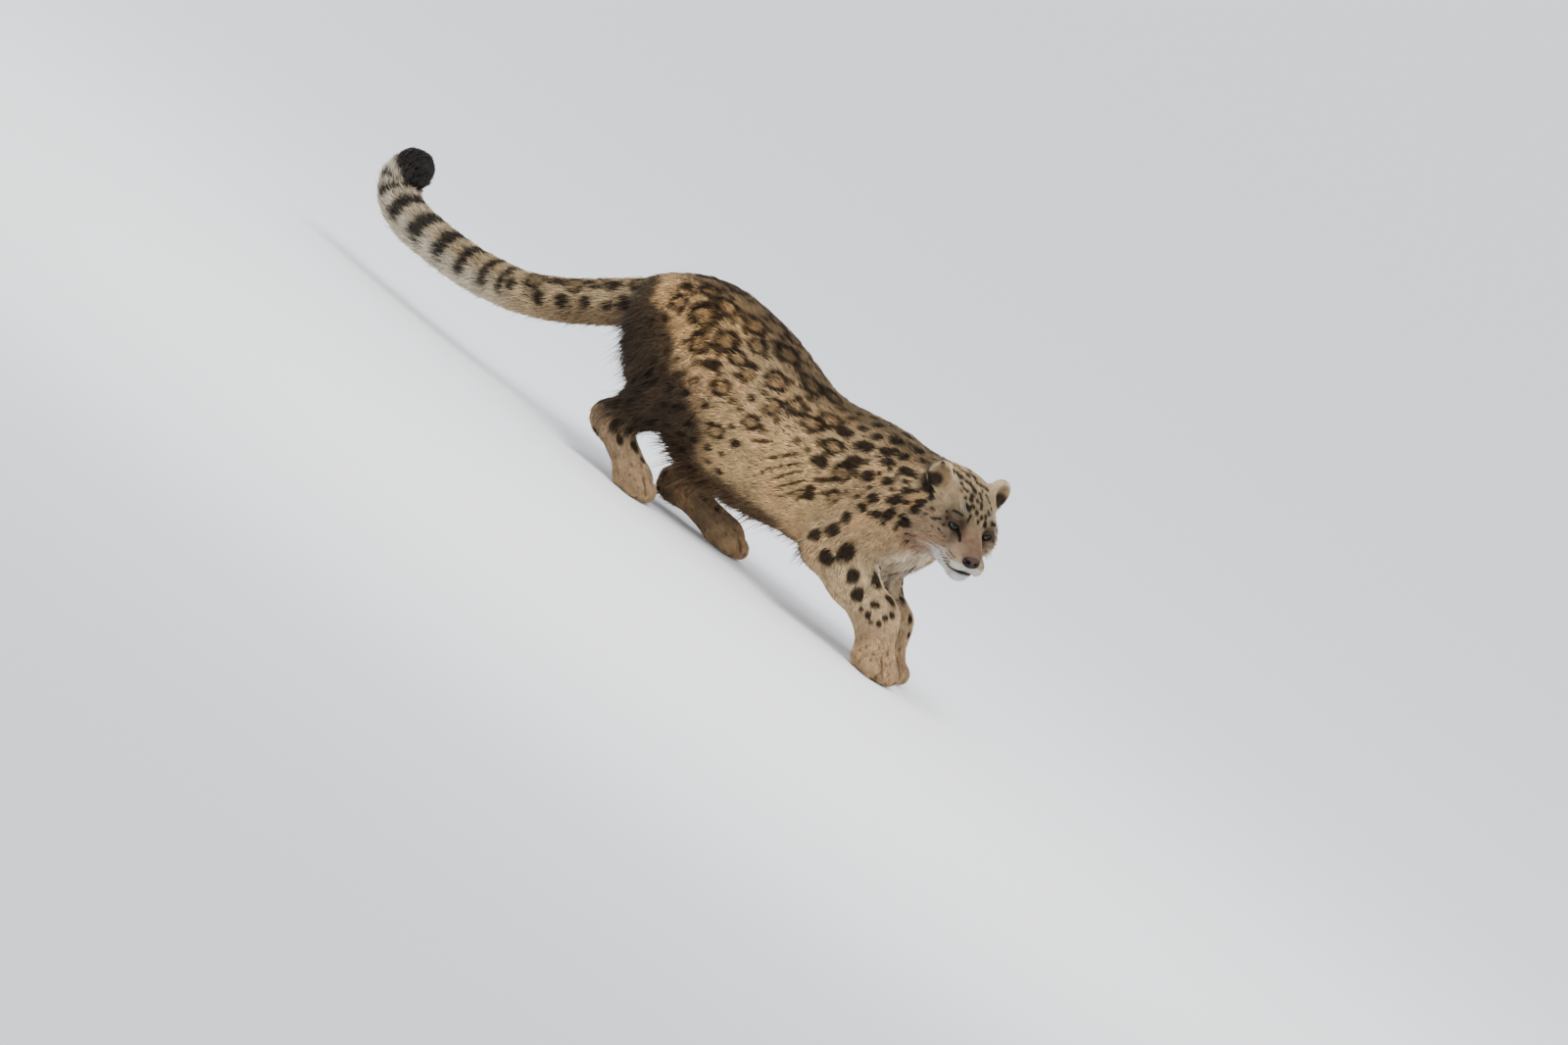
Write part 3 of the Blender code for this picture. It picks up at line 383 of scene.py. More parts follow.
def head_masses():
    """Domed skull, full cheeks, short deep muzzle, chin, nose, round ears, lids and the line of the mouth."""
    masses = [
        head_mass("crown", (0.000, 0, 0.015), (0.080, 0.069, 0.063), blend=0.03),
        head_mass("crown", (0.040, 0, 0.022), (0.050, 0.052, 0.042)),
        head_limb("bridge", (0.050, 0, 0.014), (0.128, 0, -0.0155), 0.035, 0.0210, 0.02),
        head_mass("muzzle", (0.104, 0, -0.038), (0.045, 0.040, 0.031), blend=0.02),
        head_limb("jaw", (0.000, 0, -0.058), (0.100, 0, -0.066), 0.044, 0.024, 0.025),
        head_mass("jaw", (0.118, 0, -0.071), (0.024, 0.025, 0.018), blend=0.012),
    ]
    for way in SIDES.values():
        masses += [
            head_mass("cheek", (0.048, way * 0.049, -0.014), (0.044, 0.028, 0.034), blend=0.02),
            head_mass("cheek", (0.000, way * 0.065, -0.028), (0.052, 0.037, 0.050), blend=0.025),
            head_mass("crown", (0.068, way * 0.030, 0.033), (0.020, 0.022, 0.012), blend=0.014),
            head_mass("muzzle", (0.123, way * 0.022, -0.043), (0.030, 0.0230, 0.022), blend=0.008),
        ]
    masses.append(head_mass("bridge", (0.1330, 0, -0.0170), (0.0180, 0.0195, 0.0160), (0, 0.40, 0), 0.012))
    masses.append(head_mass("bare", (0.1445, 0, -0.0235), (0.0125, 0.0190, 0.0105), (0, 0.30, 0), 0.007))
    masses.append(head_mass("bare", (0.1450, 0, -0.0330), (0.0110, 0.0095, 0.0090), (0, 0, 0), 0.007))
    for way in SIDES.values():
        turn, cup = (way * -0.30, -0.10, way * 0.42), (way * -0.30, 0.02, way * 0.42)
        up = HEAD_AXES @ (-0.35, way * 0.40, 0.85)
        masses += [
            head_mass("ear", (-0.020, way * 0.058, 0.054), (0.026, 0.030, 0.026), turn, 0.014, up),
            head_mass("ear", (-0.024, way * 0.070, 0.067), (0.018, 0.030, 0.032), turn, 0.010, up),
            head_mass("ear", (-0.006, way * 0.077, 0.071), (0.0175, 0.021, 0.0255), cup, 0.004, up, True),
        ]
    for way in SIDES.values():
        x, y, z = eye_place(way)
        socket = (x + 0.024, y + way * 0.005, z)
        masses.append(head_mass("lid", socket, (0.016, 0.020, 0.016), gaze(way), 0.010, dent=True))
        masses.append(head_mass("lid", (x, y, z), (0.0175, 0.0175, 0.0175), gaze(way), 0.006))
    masses.append(head_limb("muzzle", (0.158, 0, -0.041), (0.152, 0, -0.057), 0.0022, 0.0022, 0.004, True))
    mouth = (
        (0.153, 0.000, -0.0575), (0.143, 0.020, -0.0610), (0.118, 0.037, -0.0640),
        (0.084, 0.044, -0.0600), (0.066, 0.047, -0.0530),
    )
    for way in SIDES.values():
        for start, end in zip(mouth, mouth[1:]):
            ends = mirrored(start, way), mirrored(end, way)
            masses.append(head_limb("muzzle", *ends, 0.0040, 0.0035, 0.003, True))
    return masses


def coat_guides():
    """Places that carry another kind of coat than the mass below them, and shape nothing."""
    guides = [
        mass("belly", (-0.80, 0, -0.60), (-0.50, 0, 0.108), (0.24, 0.070, 0.038)),
        mass("chest", (-0.45, 0, -0.90), (-0.135, -0.01, 0.205), (0.075, 0.080, 0.090)),
        mass("cheek", (-0.60, 0, -0.80), in_head((-0.045, -0.075, -0.050)), (0.035, 0.035, 0.035)),
        mass("cheek", (-0.60, 0, -0.80), in_head((-0.045, 0.075, -0.050)), (0.035, 0.035, 0.035)),
    ]
    for side, way in SIDES.items():
        hip, elbow = HIP[side], ELBOW[side]
        buttock = (hip[0] - 0.075, hip[1] + way * 0.02, 0.255)
        thigh = (hip[0] + 0.030, way * 0.115, 0.200)
        behind = (elbow[0] - 0.050, elbow[1], 0.140)
        guides.append(mass("rear", (-0.40, 0, -1.0), buttock, (0.045, 0.070, 0.100)))
        guides.append(mass("rear", (-0.50, 0, -1.0), thigh, (0.060, 0.045, 0.055)))
        guides.append(mass("elbow", (-0.70, 0, -0.80), behind, (0.035, 0.040, 0.035)))
    return guides


BODY = trunk_masses() + hindleg_masses("right") + foreleg_masses("right")
BODY += hindleg_masses("left") + foreleg_masses("left") + tail_masses() + neck_masses()
WHOLE = BODY + head_masses()
GUIDES = WHOLE + coat_guides()


def folds(points):
    """Loose skin behind each elbow gathers in folds that run up and forwards."""
    offset = np.column_stack([points[:, 0], np.abs(points[:, 1]), points[:, 2]]) - FOLD_PLACE
    window = np.exp(-((offset / FOLD_REACH) ** 2).sum(1) * 1.2)
    along = (offset[:, 0] - offset[:, 2]) / math.sqrt(2) + 0.004 * np.sin(offset[:, 2] * 70)
    return FOLD_HEIGHT * window * np.cos(along / FOLD_GAP * 2 * math.pi)


def field(masses, points):
    """Distance to the melted surface, negative inside. Each mass melts in over its own blend."""
    total = np.full(len(points), 1.0)
    for form in masses:
        near = form.near(points, form.blend + FORM_MARGIN)
        if not near.any():
            continue
        here, was = form.distance(points[near]), total[near]
        if form.dent:
            overlap = np.maximum(form.blend - np.abs(was + here), 0) / form.blend
            total[near] = np.maximum(was, -here) + overlap**2 * form.blend / 4
        else:
            overlap = np.maximum(form.blend - np.abs(was - here), 0) / form.blend
            total[near] = np.minimum(was, here) - overlap**2 * form.blend / 4
    return total + folds(points)


def walked(masses, points, sunk, rounds, most=0.010):
    """Points walked to where the field is minus the depth that they are sunk by."""
    for _ in range(rounds):
        here = field(masses, points)
        slope = np.empty_like(points)
        for axis in range(3):
            shift = np.zeros(3)
            shift[axis] = SLOPE_STEP
            slope[:, axis] = (field(masses, points + shift) - here) / SLOPE_STEP
        move = (here + sunk)[:, None] * slope / np.maximum((slope**2).sum(1), 0.05)[:, None]
        length = np.linalg.norm(move, axis=1)[:, None]
        points = points - move * np.minimum(1, most / np.maximum(length, 1e-9))
    return points


def coat_here(points):
    """Sizes and ground colour of the coat at each point and the way it lies, from the masses near it."""
    total = np.full(len(points), 1e-9)
    mixed, lies = np.zeros((len(points), 9)), np.zeros((len(points), 3))
    for form in GUIDES:
        if form.dent:
            continue
        near = form.near(points, COAT_MARGIN)
        if not near.any():
            continue
        here = points[near]
        soft = SMALL_SOFTNESS if form.coat in SMALL_COATS else LARGE_SOFTNESS
        weight = np.exp(-np.clip(form.distance(here), -0.045, 0.2) / soft)
        weight = weight * (LID_WEIGHT if form.coat == "lid" else 1)
        total[near] += weight
        depth, length, width, area, lift, clump, ground = COATS[form.coat]
        mixed[near] += weight[:, None] * np.array((depth, length, width, 1 / area, lift, clump, *ground))
        lies[near] += weight[:, None] * (form.lie(here) if callable(form.lie) else unit(form.lie))
    mixed /= total[:, None]
    return mixed[:, :6], mixed[:, 6:], units(lies)


def select(*objects):
    """Selects these objects alone, and makes the first of them the active one."""
    bpy.ops.object.select_all(action="DESELECT")
    for obj in objects:
        obj.select_set(True)
    if objects:
        bpy.context.view_layer.objects.active = objects[0]


def skin_cast(masses, voxel):
    """Balls along every mass, a little smaller than the coat's outline, remeshed into one surface."""
    balls = []
    for form in masses:
        if form.dent:
            continue
        inset = COATS[form.coat][0]
        if form.end is None:
            size = np.maximum(form.radii - inset, form.radii * 0.5)
            turn = Matrix(form.axes.tolist()).to_euler()
            bpy.ops.mesh.primitive_ico_sphere_add(
                subdivisions=3, radius=1, location=form.start, rotation=turn, scale=size
            )
            balls.append(bpy.context.active_object)
            continue
        length = float(np.linalg.norm(form.end - form.start))
        steps = max(1, round(length / (0.7 * float(form.radii.min()))))
        for stop in range(steps + 1):
            share = stop / steps
            radius = max(form.radii[0] + (form.radii[1] - form.radii[0]) * share - inset, FINEST_BALL)
            place = form.start + (form.end - form.start) * share
            bpy.ops.mesh.primitive_ico_sphere_add(subdivisions=3, radius=radius, location=place)
            balls.append(bpy.context.active_object)
    select(*balls)
    bpy.ops.object.join()
    cast = bpy.context.active_object
    bpy.ops.object.transform_apply()
    remesh = cast.modifiers.new("Remesh", "REMESH")
    remesh.mode = "VOXEL"
    remesh.voxel_size = voxel
    bpy.ops.object.modifier_apply(modifier="Remesh")
    return cast


def read(items, name, width, kind=float):
    """One row of values for each vertex, triangle or corner of a mesh."""
    values = np.empty(len(items) * width, kind)
    items.foreach_get(name, values)
    return values.reshape(-1, width)


def vertex_places(obj):
    return read(obj.data.vertices, "co", 3)


def set_places(obj, places):
    obj.data.vertices.foreach_set("co", np.ascontiguousarray(places, float).ravel())
    obj.data.update()


def sink_skin(obj, masses, rounds):
    """Walks a cast onto the melted surface, less the coat's depth at each place."""
    places = vertex_places(obj)
    for _ in range(rounds):
        sizes = coat_here(places)[0]
        places = walked(masses, places, sizes[:, 0], 2)
    places[:, 2] = np.maximum(places[:, 2], SOLE_HEIGHT)
    set_places(obj, places)


def edit_whole(obj, operation, **settings):
    """Runs one operation over all of a mesh."""
    select(obj)
    bpy.ops.object.mode_set(mode="EDIT")
    bpy.ops.mesh.select_all(action="SELECT")
    operation(**settings)
    bpy.ops.object.mode_set(mode="OBJECT")


def cut_ball(obj, place, radii, turn, operation="DIFFERENCE"):
    """Cuts an ellipsoid out of something, or keeps what lies in it. The place is in the head's frame."""
    select()
    bpy.ops.mesh.primitive_ico_sphere_add(subdivisions=4, radius=1)
    cutter = bpy.context.active_object
    turned = head_matrix() @ Matrix.Translation(place) @ Euler(turn, "XYZ").to_matrix().to_4x4()
    cutter.data.transform(turned @ Matrix.Diagonal((*radii, 1)))
    cut = obj.modifiers.new("Cut", "BOOLEAN")
    cut.operation = operation
    cut.solver = "MANIFOLD"
    cut.object = cutter
    bpy.context.view_layer.objects.active = obj
    bpy.ops.object.modifier_apply(modifier="Cut")
    bpy.data.objects.remove(cutter)


def cut_both_sides(obj, *balls):
    """Cuts ellipsoids, given for the left side, out of each side."""
    for way in SIDES.values():
        for place, radii, turn in balls:
            cut_ball(obj, mirrored(place, way), radii, mirrored_turn(turn, way))


select()
body_skin = skin_cast(BODY, BODY_VOXEL)
sink_skin(body_skin, BODY, 3)
head_skin = skin_cast(head_masses() + neck_masses(), HEAD_VOXEL)
sink_skin(head_skin, WHOLE, 3)
# The cut behind the head keeps what lies ahead of it, and is hidden inside the neck.
HEAD_BACK = (in_head((-0.110, 0, -0.01)), unit((0.86, -0.36, 0.10)))
cut = {"plane_co": HEAD_BACK[0], "plane_no": HEAD_BACK[1], "use_fill": True, "clear_inner": True}
edit_whole(head_skin, bpy.ops.mesh.bisect, **cut)
cut_both_sides(head_skin, LID_OPENING, NOSTRIL_HOLLOW)
select(head_skin, body_skin)
bpy.ops.object.join()
skin = bpy.context.active_object
skin.name = "skin"
bpy.ops.object.shade_smooth()


def cell_numbers(cells):
    """One whole number for each cell of a grid."""
    return (cells[:, 0] * 73856093) ^ (cells[:, 1] * 19349663) ^ (cells[:, 2] * 83492791)


def noise(points, size, seed=0):
    """Smooth noise from -1 to 1, in lumps of about this size."""
    grid = points / size + seed * 17.31 + 500
    cell = np.floor(grid).astype(np.int64)
    part = grid - cell
    part = part * part * (3 - 2 * part)
    total = np.zeros(len(points))
    for corner in range(8):
        side = np.array((corner & 1, corner >> 1 & 1, corner >> 2 & 1))
        value = ((cell_numbers(cell + side) * 2654435761 >> 9) & 0xFFFF) / 32767.5 - 1
        total += value * np.where(side, part, 1 - part).prod(1)
    return total


# The coat's markings. Open rosettes stand on the trunk, full spots on the legs and tail, and small dots and
# bars on the head. Those of the right side and of the face are set one by one, in millimetres, and those of
# the other side and of the places between are strewn evenly. A row is a place, a radius and how far the mark
# is stretched along the fur. A streak or bar is its two ends and its half width. A dot of the head is its
# place and size. A blotch of the tail is its share of the way to the tip, its height and its radius, and a
# band is its share and half its width as a share. The streaks in the folds behind the right elbow, and the
# lines down the gaps between the toes, are painted shade.
ROSETTES = (
    (-817, -135, 386, 24, 1.0), (-758, -126, 398, 31, 1.25), (-738, -92, 437, 24, 1.1),
    (-724, -142, 343, 26, 0.9), (-688, -118, 382, 27, 1.1), (-643, -117, 366, 17, 1.4),
    (-603, -123, 355, 24, 0.8), (-547, -111, 378, 24, 1.3), (-575, -63, 434, 27, 1.4),
    (-490, -62, 413, 25, 1.4), (-512, -129, 333, 21, 1.1), (-474, -112, 361, 22, 1.2),
    (-527, -142, 278, 18, 1.3), (-581, -134, 217, 17, 1.2), (-672, -74, 441, 23, 1.4),
    (-631, -98, 412, 19, 1.4), (-425, -113, 350, 20, 1.4), (-401, -90, 380, 20, 1.5),
    (-352, -118, 341, 18, 1.4), (-300, -129, 307, 22, 1.1), (-454, -40, 415, 22, 1.5),
    (-792, -90, 439, 22, 1.2), (-626, -140, 298, 22, 1.0), (-280, -120, 258, 19, 1.0),
)
BLOTCHES = (
    (-673, -137, 326, 12, 1.3), (-836, -108, 422, 12, 1.3), (-560, -140, 320, 7, 1.3),
    (-356, -101, 378, 12, 1.6), (-299, -113, 378, 12, 1.8), (-250, -109, 400, 10, 1.8),
    (-293, -126, 342, 13, 1.3), (-357, -124, 298, 13, 1.3), (-244, -135, 337, 11, 1.4),
    (-202, -134, 354, 9, 1.5), (-233, -119, 385, 9, 1.8), (-186, -116, 393, 9, 1.8),
    (-336, -119, 231, 13, 1.1), (-223, -157, 243, 11, 1.1), (-199, -152, 308, 11, 1.2),
    (-207, -157, 279, 10, 1.0), (-170, -158, 285, 8, 1.3), (-258, -159, 173, 14, 1.1),
    (-231, -159, 204, 13, 1.2), (-206, -157, 149, 15, 1.0), (-177, -150, 181, 17, 1.1),
    (-136, -146, 152, 12, 1.3), (-103, -105, 172, 14, 1.2), (-107, -137, 126, 12, 1.2),
    (-65, -130, 131, 9, 0.8), (-54, -97, 157, 10, 1.3), (-84, -135, 105, 5, 1.0),
    (-63, -135, 104, 6, 1.3), (-33, -120, 120, 6, 1.0), (-29, -107, 132, 6, 1.2),
    (-50, -132, 96, 4, 1.0), (-34, -125, 103, 5, 1.2), (-156, -128, 362, 8, 1.6),
    (-112, -145, 340, 9, 1.5), (-164, -137, 330, 10, 1.5), (-113, -139, 305, 9, 1.6),
    (-150, -151, 300, 9, 1.8), (-773, -137, 94, 9, 1.6), (-749, -132, 81, 7, 1.8),
    (-748, -124, 104, 7, 1.5), (-718, -114, 88, 8, 1.6),
)
# The first five streaks lie along the folds behind the right elbow and are painted shade in them; the others
# are dark marks.
STREAKS_AND_FOLD_SHADE = (
    ((-451, -136, 237), (-406, -131, 283), 4), ((-435, -131, 224), (-389, -129, 271), 3),
    ((-420, -125, 212), (-374, -126, 261), 3), ((-407, -117, 197), (-363, -123, 244), 2.8),
    ((-395, -107, 182), (-358, -118, 224), 2.8), ((-340, -120, 262), (-300, -125, 290), 6),
    ((-352, -118, 205), (-338, -119, 245), 7), ((-500, -138, 250), (-470, -136, 268), 5),
)
HEAD_DOTS = (
    (-72, -23, 78, 42), (-20, -33, 81, 56), (-34, -13, 86, 35), (-22, -12, 86, 30), (-44, -2, 87, 30),
    (-26, 4, 87, 48), (5, -32, 76, 24), (-3, -21, 81, 28), (2, -14, 82, 34), (19, -29, 73, 24),
    (26, -24, 73, 24), (23, -6, 77, 36), (38, -14, 72, 32), (50, -18, 67, 35), (66, -15, 60, 31),
    (69, -25, 54, 38), (77, -5, 53, 31), (40, 8, 72, 28), (56, 6, 67, 30), (27, 7, 76, 28),
    (-5, 26, 80, 33), (20, 27, 73, 33), (32, 32, 67, 30), (64, 27, 56, 33), (76, 18, 52, 28),
    (66, 5, 62, 28), (82, 8, 49, 28), (79, 38, 44, 28), (90, 19, 38, 33), (90, 1, 40, 26),
    (-9, 5, 85, 33), (-4, 16, 83, 33), (24, -35, 68, 20), (51, -4, 69, 28), (47, 37, 59, 24),
    (-4, 33, 78, 28), (12, -10, 80, 26), (14, 14, 78, 26), (60, -28, 56, 24), (44, -30, 64, 24),
    (-50, 24, 78, 40), (-60, 6, 80, 36), (-52, -20, 82, 30), (-40, 35, 74, 30),
)
CHEEK_DOTS = (
    (56, 59, 25, 20), (69, 58, 17, 20), (79, 62, 4, 20), (33, 81, 12, 28), (35, 89, -4, 28),
    (63, 77, -15, 20), (80, 67, -9, 19), (66, 69, -36, 14), (78, 66, -28, 14), (92, 53, -18, 14),
    (89, 49, -29, 14), (86, 63, -13, 14), (61, 76, -30, 14), (5, 95, 4, 70), (19, 97, -8, 26),
    (40, 85, -30, 18),
)
FACE_BARS = (
    ((67, 53, 37), (85, 36, 40), 2.6), ((51, 79, -2), (63, 69, 8), 3),
    ((84, 18, 48), (91, 22, 33), 2.6), ((90, 31, 5), (108, 25, -7), 3.4),
    ((142, 34, -34), (112, 45, -31), 1.1), ((147, 30, -40), (110, 47, -39), 1.1),
    ((146, 31, -46), (106, 48, -46), 1.1), ((143, 33, -51), (104, 48, -52), 1),
    ((10, 100, -40), (-18, 101, -50), 3.4), ((30, 78, -58), (-4, 86, -72), 2.6),
)
TAIL_BLOTCHES = (
    (0.055, 0.7, 0.016), (0.110, 0.6, 0.013), (0.150, 0.8, 0.016), (0.207, 0.6, 0.019),
    (0.258, 0.8, 0.014), (0.305, 0.6, 0.019), (0.355, 0.1, 0.011), (0.280, -0.2, 0.013),
    (0.230, -0.2, 0.013), (0.175, -0.2, 0.012), (0.120, -0.3, 0.010), (0.080, -0.2, 0.015),
)
TAIL_BANDS = (
    (0.385, 0.007), (0.435, 0.009), (0.497, 0.010), (0.565, 0.012), (0.645, 0.015), (0.735, 0.016),
    (0.825, 0.015), (0.905, 0.014),
)
ROSETTE_GROWTH = 0.96
BLOTCH_GROWTH = 1.27
TAIL_GROWTH = 1.3
LOW_BLOTCHES = 260
HEAD_DOT_UNITS = 6000
CHEEK_DOT_UNITS = 6400
SHADED_TOE_GAPS = (-0.49, -0.01, 0.47)
TOE_GAP_SHADE_RADIUS = 0.0026
TRIED_PLACES = 9000
SPOT_STEP = 0.003
TAIL_STATIONS = 120


def metres(row):
    return np.array(row) / 1000


def line_of_spots(start, end, radius, kind):
    number = max(2, round(float(np.linalg.norm(end - start)) / radius))
    return [(start + (end - start) * (stop / (number - 1)), radius, 1.3, kind) for stop in range(number)]


def on_head(rows):
    """Marks given in the head's frame, set on the coat's outline."""
    places = walked(WHOLE, np.array([in_head(row[0]) for row in rows]), np.zeros(len(rows)), 6, 0.02)
    return [(place, *row[1:]) for place, row in zip(places, rows)]


spots = [(metres(row[:3]), row[3] / 1000 * ROSETTE_GROWTH, row[4], "rosette") for row in ROSETTES]
spots += [(metres(row[:3]), row[3] / 1000 * BLOTCH_GROWTH, row[4], "blotch") for row in BLOTCHES]
for row in BLOTCHES:
    if row[2] < LOW_BLOTCHES:
        spots.append((metres(mirrored(row, -1)), row[3] / 1000, row[4], "blotch"))
for start, end, radius in STREAKS_AND_FOLD_SHADE:
    spots += line_of_spots(metres(start), metres(end), radius / 1000, "streak")
marks = [(metres(row[:3]), row[3] / HEAD_DOT_UNITS, 1.4, "dot") for row in HEAD_DOTS]
for way in SIDES.values():
    marks += [(metres(mirrored(row, way)), row[3] / CHEEK_DOT_UNITS, 1.3, "dot") for row in CHEEK_DOTS]
    for start, end, radius in FACE_BARS:
        marks += line_of_spots(metres(mirrored(start, way)), metres(mirrored(end, way)), radius / 1000, "dot")
spots += on_head(marks)
for share, high, radius in TAIL_BLOTCHES:
    here = tail_place(share)
    along = unit(tail_place(min(share + 0.02, 1)) - tail_place(share - 0.02))
    up = unit(np.cross(np.cross(along, (0, 0, 1)), along))
    kind = "rosette" if radius > 0.015 else "blotch"
    for way in SIDES.values():
        out = unit(up * high + np.cross(along, up) * way * (1.0 - 0.4 * abs(high)))
        spots.append((here + out * TAIL_RADIUS, radius * TAIL_GROWTH, 1.0, kind))
# Lines of painted shade down the gaps between the toes of each paw.
for side, way in SIDES.items():
    hind_paw = (HIND_BALL[side], HIND_TOE_TURN[side], HIND_PAW_SCALE)
    for ball, turn, scale in ((FORE_BALL[side], FORE_TOE_TURN[side], 1.0), hind_paw):
        ahead, aside = paw_axes(turn)
        for across in SHADED_TOE_GAPS:
            foot = np.array((ball[0], ball[1], 0)) + aside * across * PAW_HALF_WIDTH * scale * way
            top, end = foot + ahead * 0.034 + (0, 0, 0.050), foot + ahead * 0.066 + (0, 0, 0.016)
            spots += line_of_spots(top, end, TOE_GAP_SHADE_RADIUS, "groove")


def strewing(points):
    """Which of these points may take a strewn mark: the gap round it, its radii and its kind."""
    x, y, z = points.T
    aside = np.abs(y)
    far_trunk = (z > 0.20) & (x > -0.84) & (x < -0.30) & ((y > 0.0) | (z > 0.43))
    shoulders = (z > 0.19) & (x > -0.34) & (x < -0.12) & ((y > 0.0) | (z > 0.37))
    neck_sides = (z > 0.27) & (x > -0.27) & (x < -0.09) & ((aside > 0.05) | (z > 0.36))
    hind_or_fore = ((x > -0.86) & (x < -0.52)) | ((x > -0.30) & (y > -0.07))
    lower_legs = (z > 0.055) & (z < 0.25) & (aside > 0.04) & hind_or_fore
    whole_trunk = (z > 0.25) & (x > -0.84) & (x < -0.26)
    toes = (z > 0.012) & (z < 0.065) & ((x > -0.14) | ((x > -0.76) & (x < -0.45)))
    return (
        (far_trunk, 0.056, (0.020, 0.028), "rosette"), (shoulders, 0.034, (0.009, 0.014), "blotch"),
        (neck_sides, 0.021, (0.0045, 0.0075), "blotch"), (lower_legs, 0.032, (0.006, 0.010), "blotch"),
        (whole_trunk, 0.026, (0.005, 0.0095), "soft"), (toes, 0.014, (0.0028, 0.0046), "faint"),
    )


def strewn(candidates, gap, taken):
    """Places picked in order from the candidates, each at least the gap away from all others."""
    kept = [row[0] for row in taken]
    made = []
    for place in candidates:
        if kept and (((np.array(kept) - place) ** 2).sum(1) < gap**2).any():
            continue
        kept.append(place)
        made.append(place)
    return made


chance = np.random.default_rng(5)
skin_places = vertex_places(skin)
tried = skin_places[chance.permutation(len(skin_places))[:TRIED_PLACES]]
for fits, gap, radii, kind in strewing(tried):
    for place in strewn(tried[fits], gap, spots):
        spots.append((place, chance.uniform(*radii), chance.uniform(1.0, 1.6), kind))

# The colour of each kind of mark, and how much of the ground it covers.
INKS = {
    "rosette": (tone(25, 17, 10), 0.95),
    "blotch": (tone(24, 15, 8), 0.95),
    "faint": (tone(104, 72, 44), 0.70),
    "dot": (tone(16, 11, 8), 0.95),
    # Streaks are dark marks, and painted shade in the folds behind the right elbow.
    "streak": (tone(54, 36, 18), 0.75),
    "soft": (tone(50, 34, 16), 0.86),
    # Painted shade in the gaps between the toes.
    "groove": (tone(84, 58, 36), 0.36),
}


def spot_frames():
    """The way out of the skin and the way the fur lies at each spot."""
    places = np.array([row[0] for row in spots])
    here = field(WHOLE, places)
    outs = [field(WHOLE, places + np.eye(3)[axis] * SPOT_STEP) - here for axis in range(3)]
    outs = units(np.stack(outs, 1))
    return outs, flattened(coat_here(places)[2], outs)


SPOT_OUTS, SPOT_LIES = spot_frames()


def tail_shares(points):
    """Nearest share of the tail's length, how far off its line, and which way is its top there."""
    best, off, tops = np.zeros(len(points)), np.full(len(points), 9.0), np.zeros((len(points), 3))
    for number in range(TAIL_STATIONS + 1):
        share = number / TAIL_STATIONS
        along = unit(tail_place(min(share + 0.01, 1)) - tail_place(max(share - 0.01, 0)))
        away = ((points - tail_place(share)) ** 2).sum(1)
        closer = away < off
        best[closer], off[closer] = share, away[closer]
        tops[closer] = unit(np.cross(np.cross(along, (0.5, 0, 1)), along))
    return best, np.sqrt(off), tops


def mixed_to(colour, other, share):
    return colour + (np.array(other) - colour) * share[:, None]


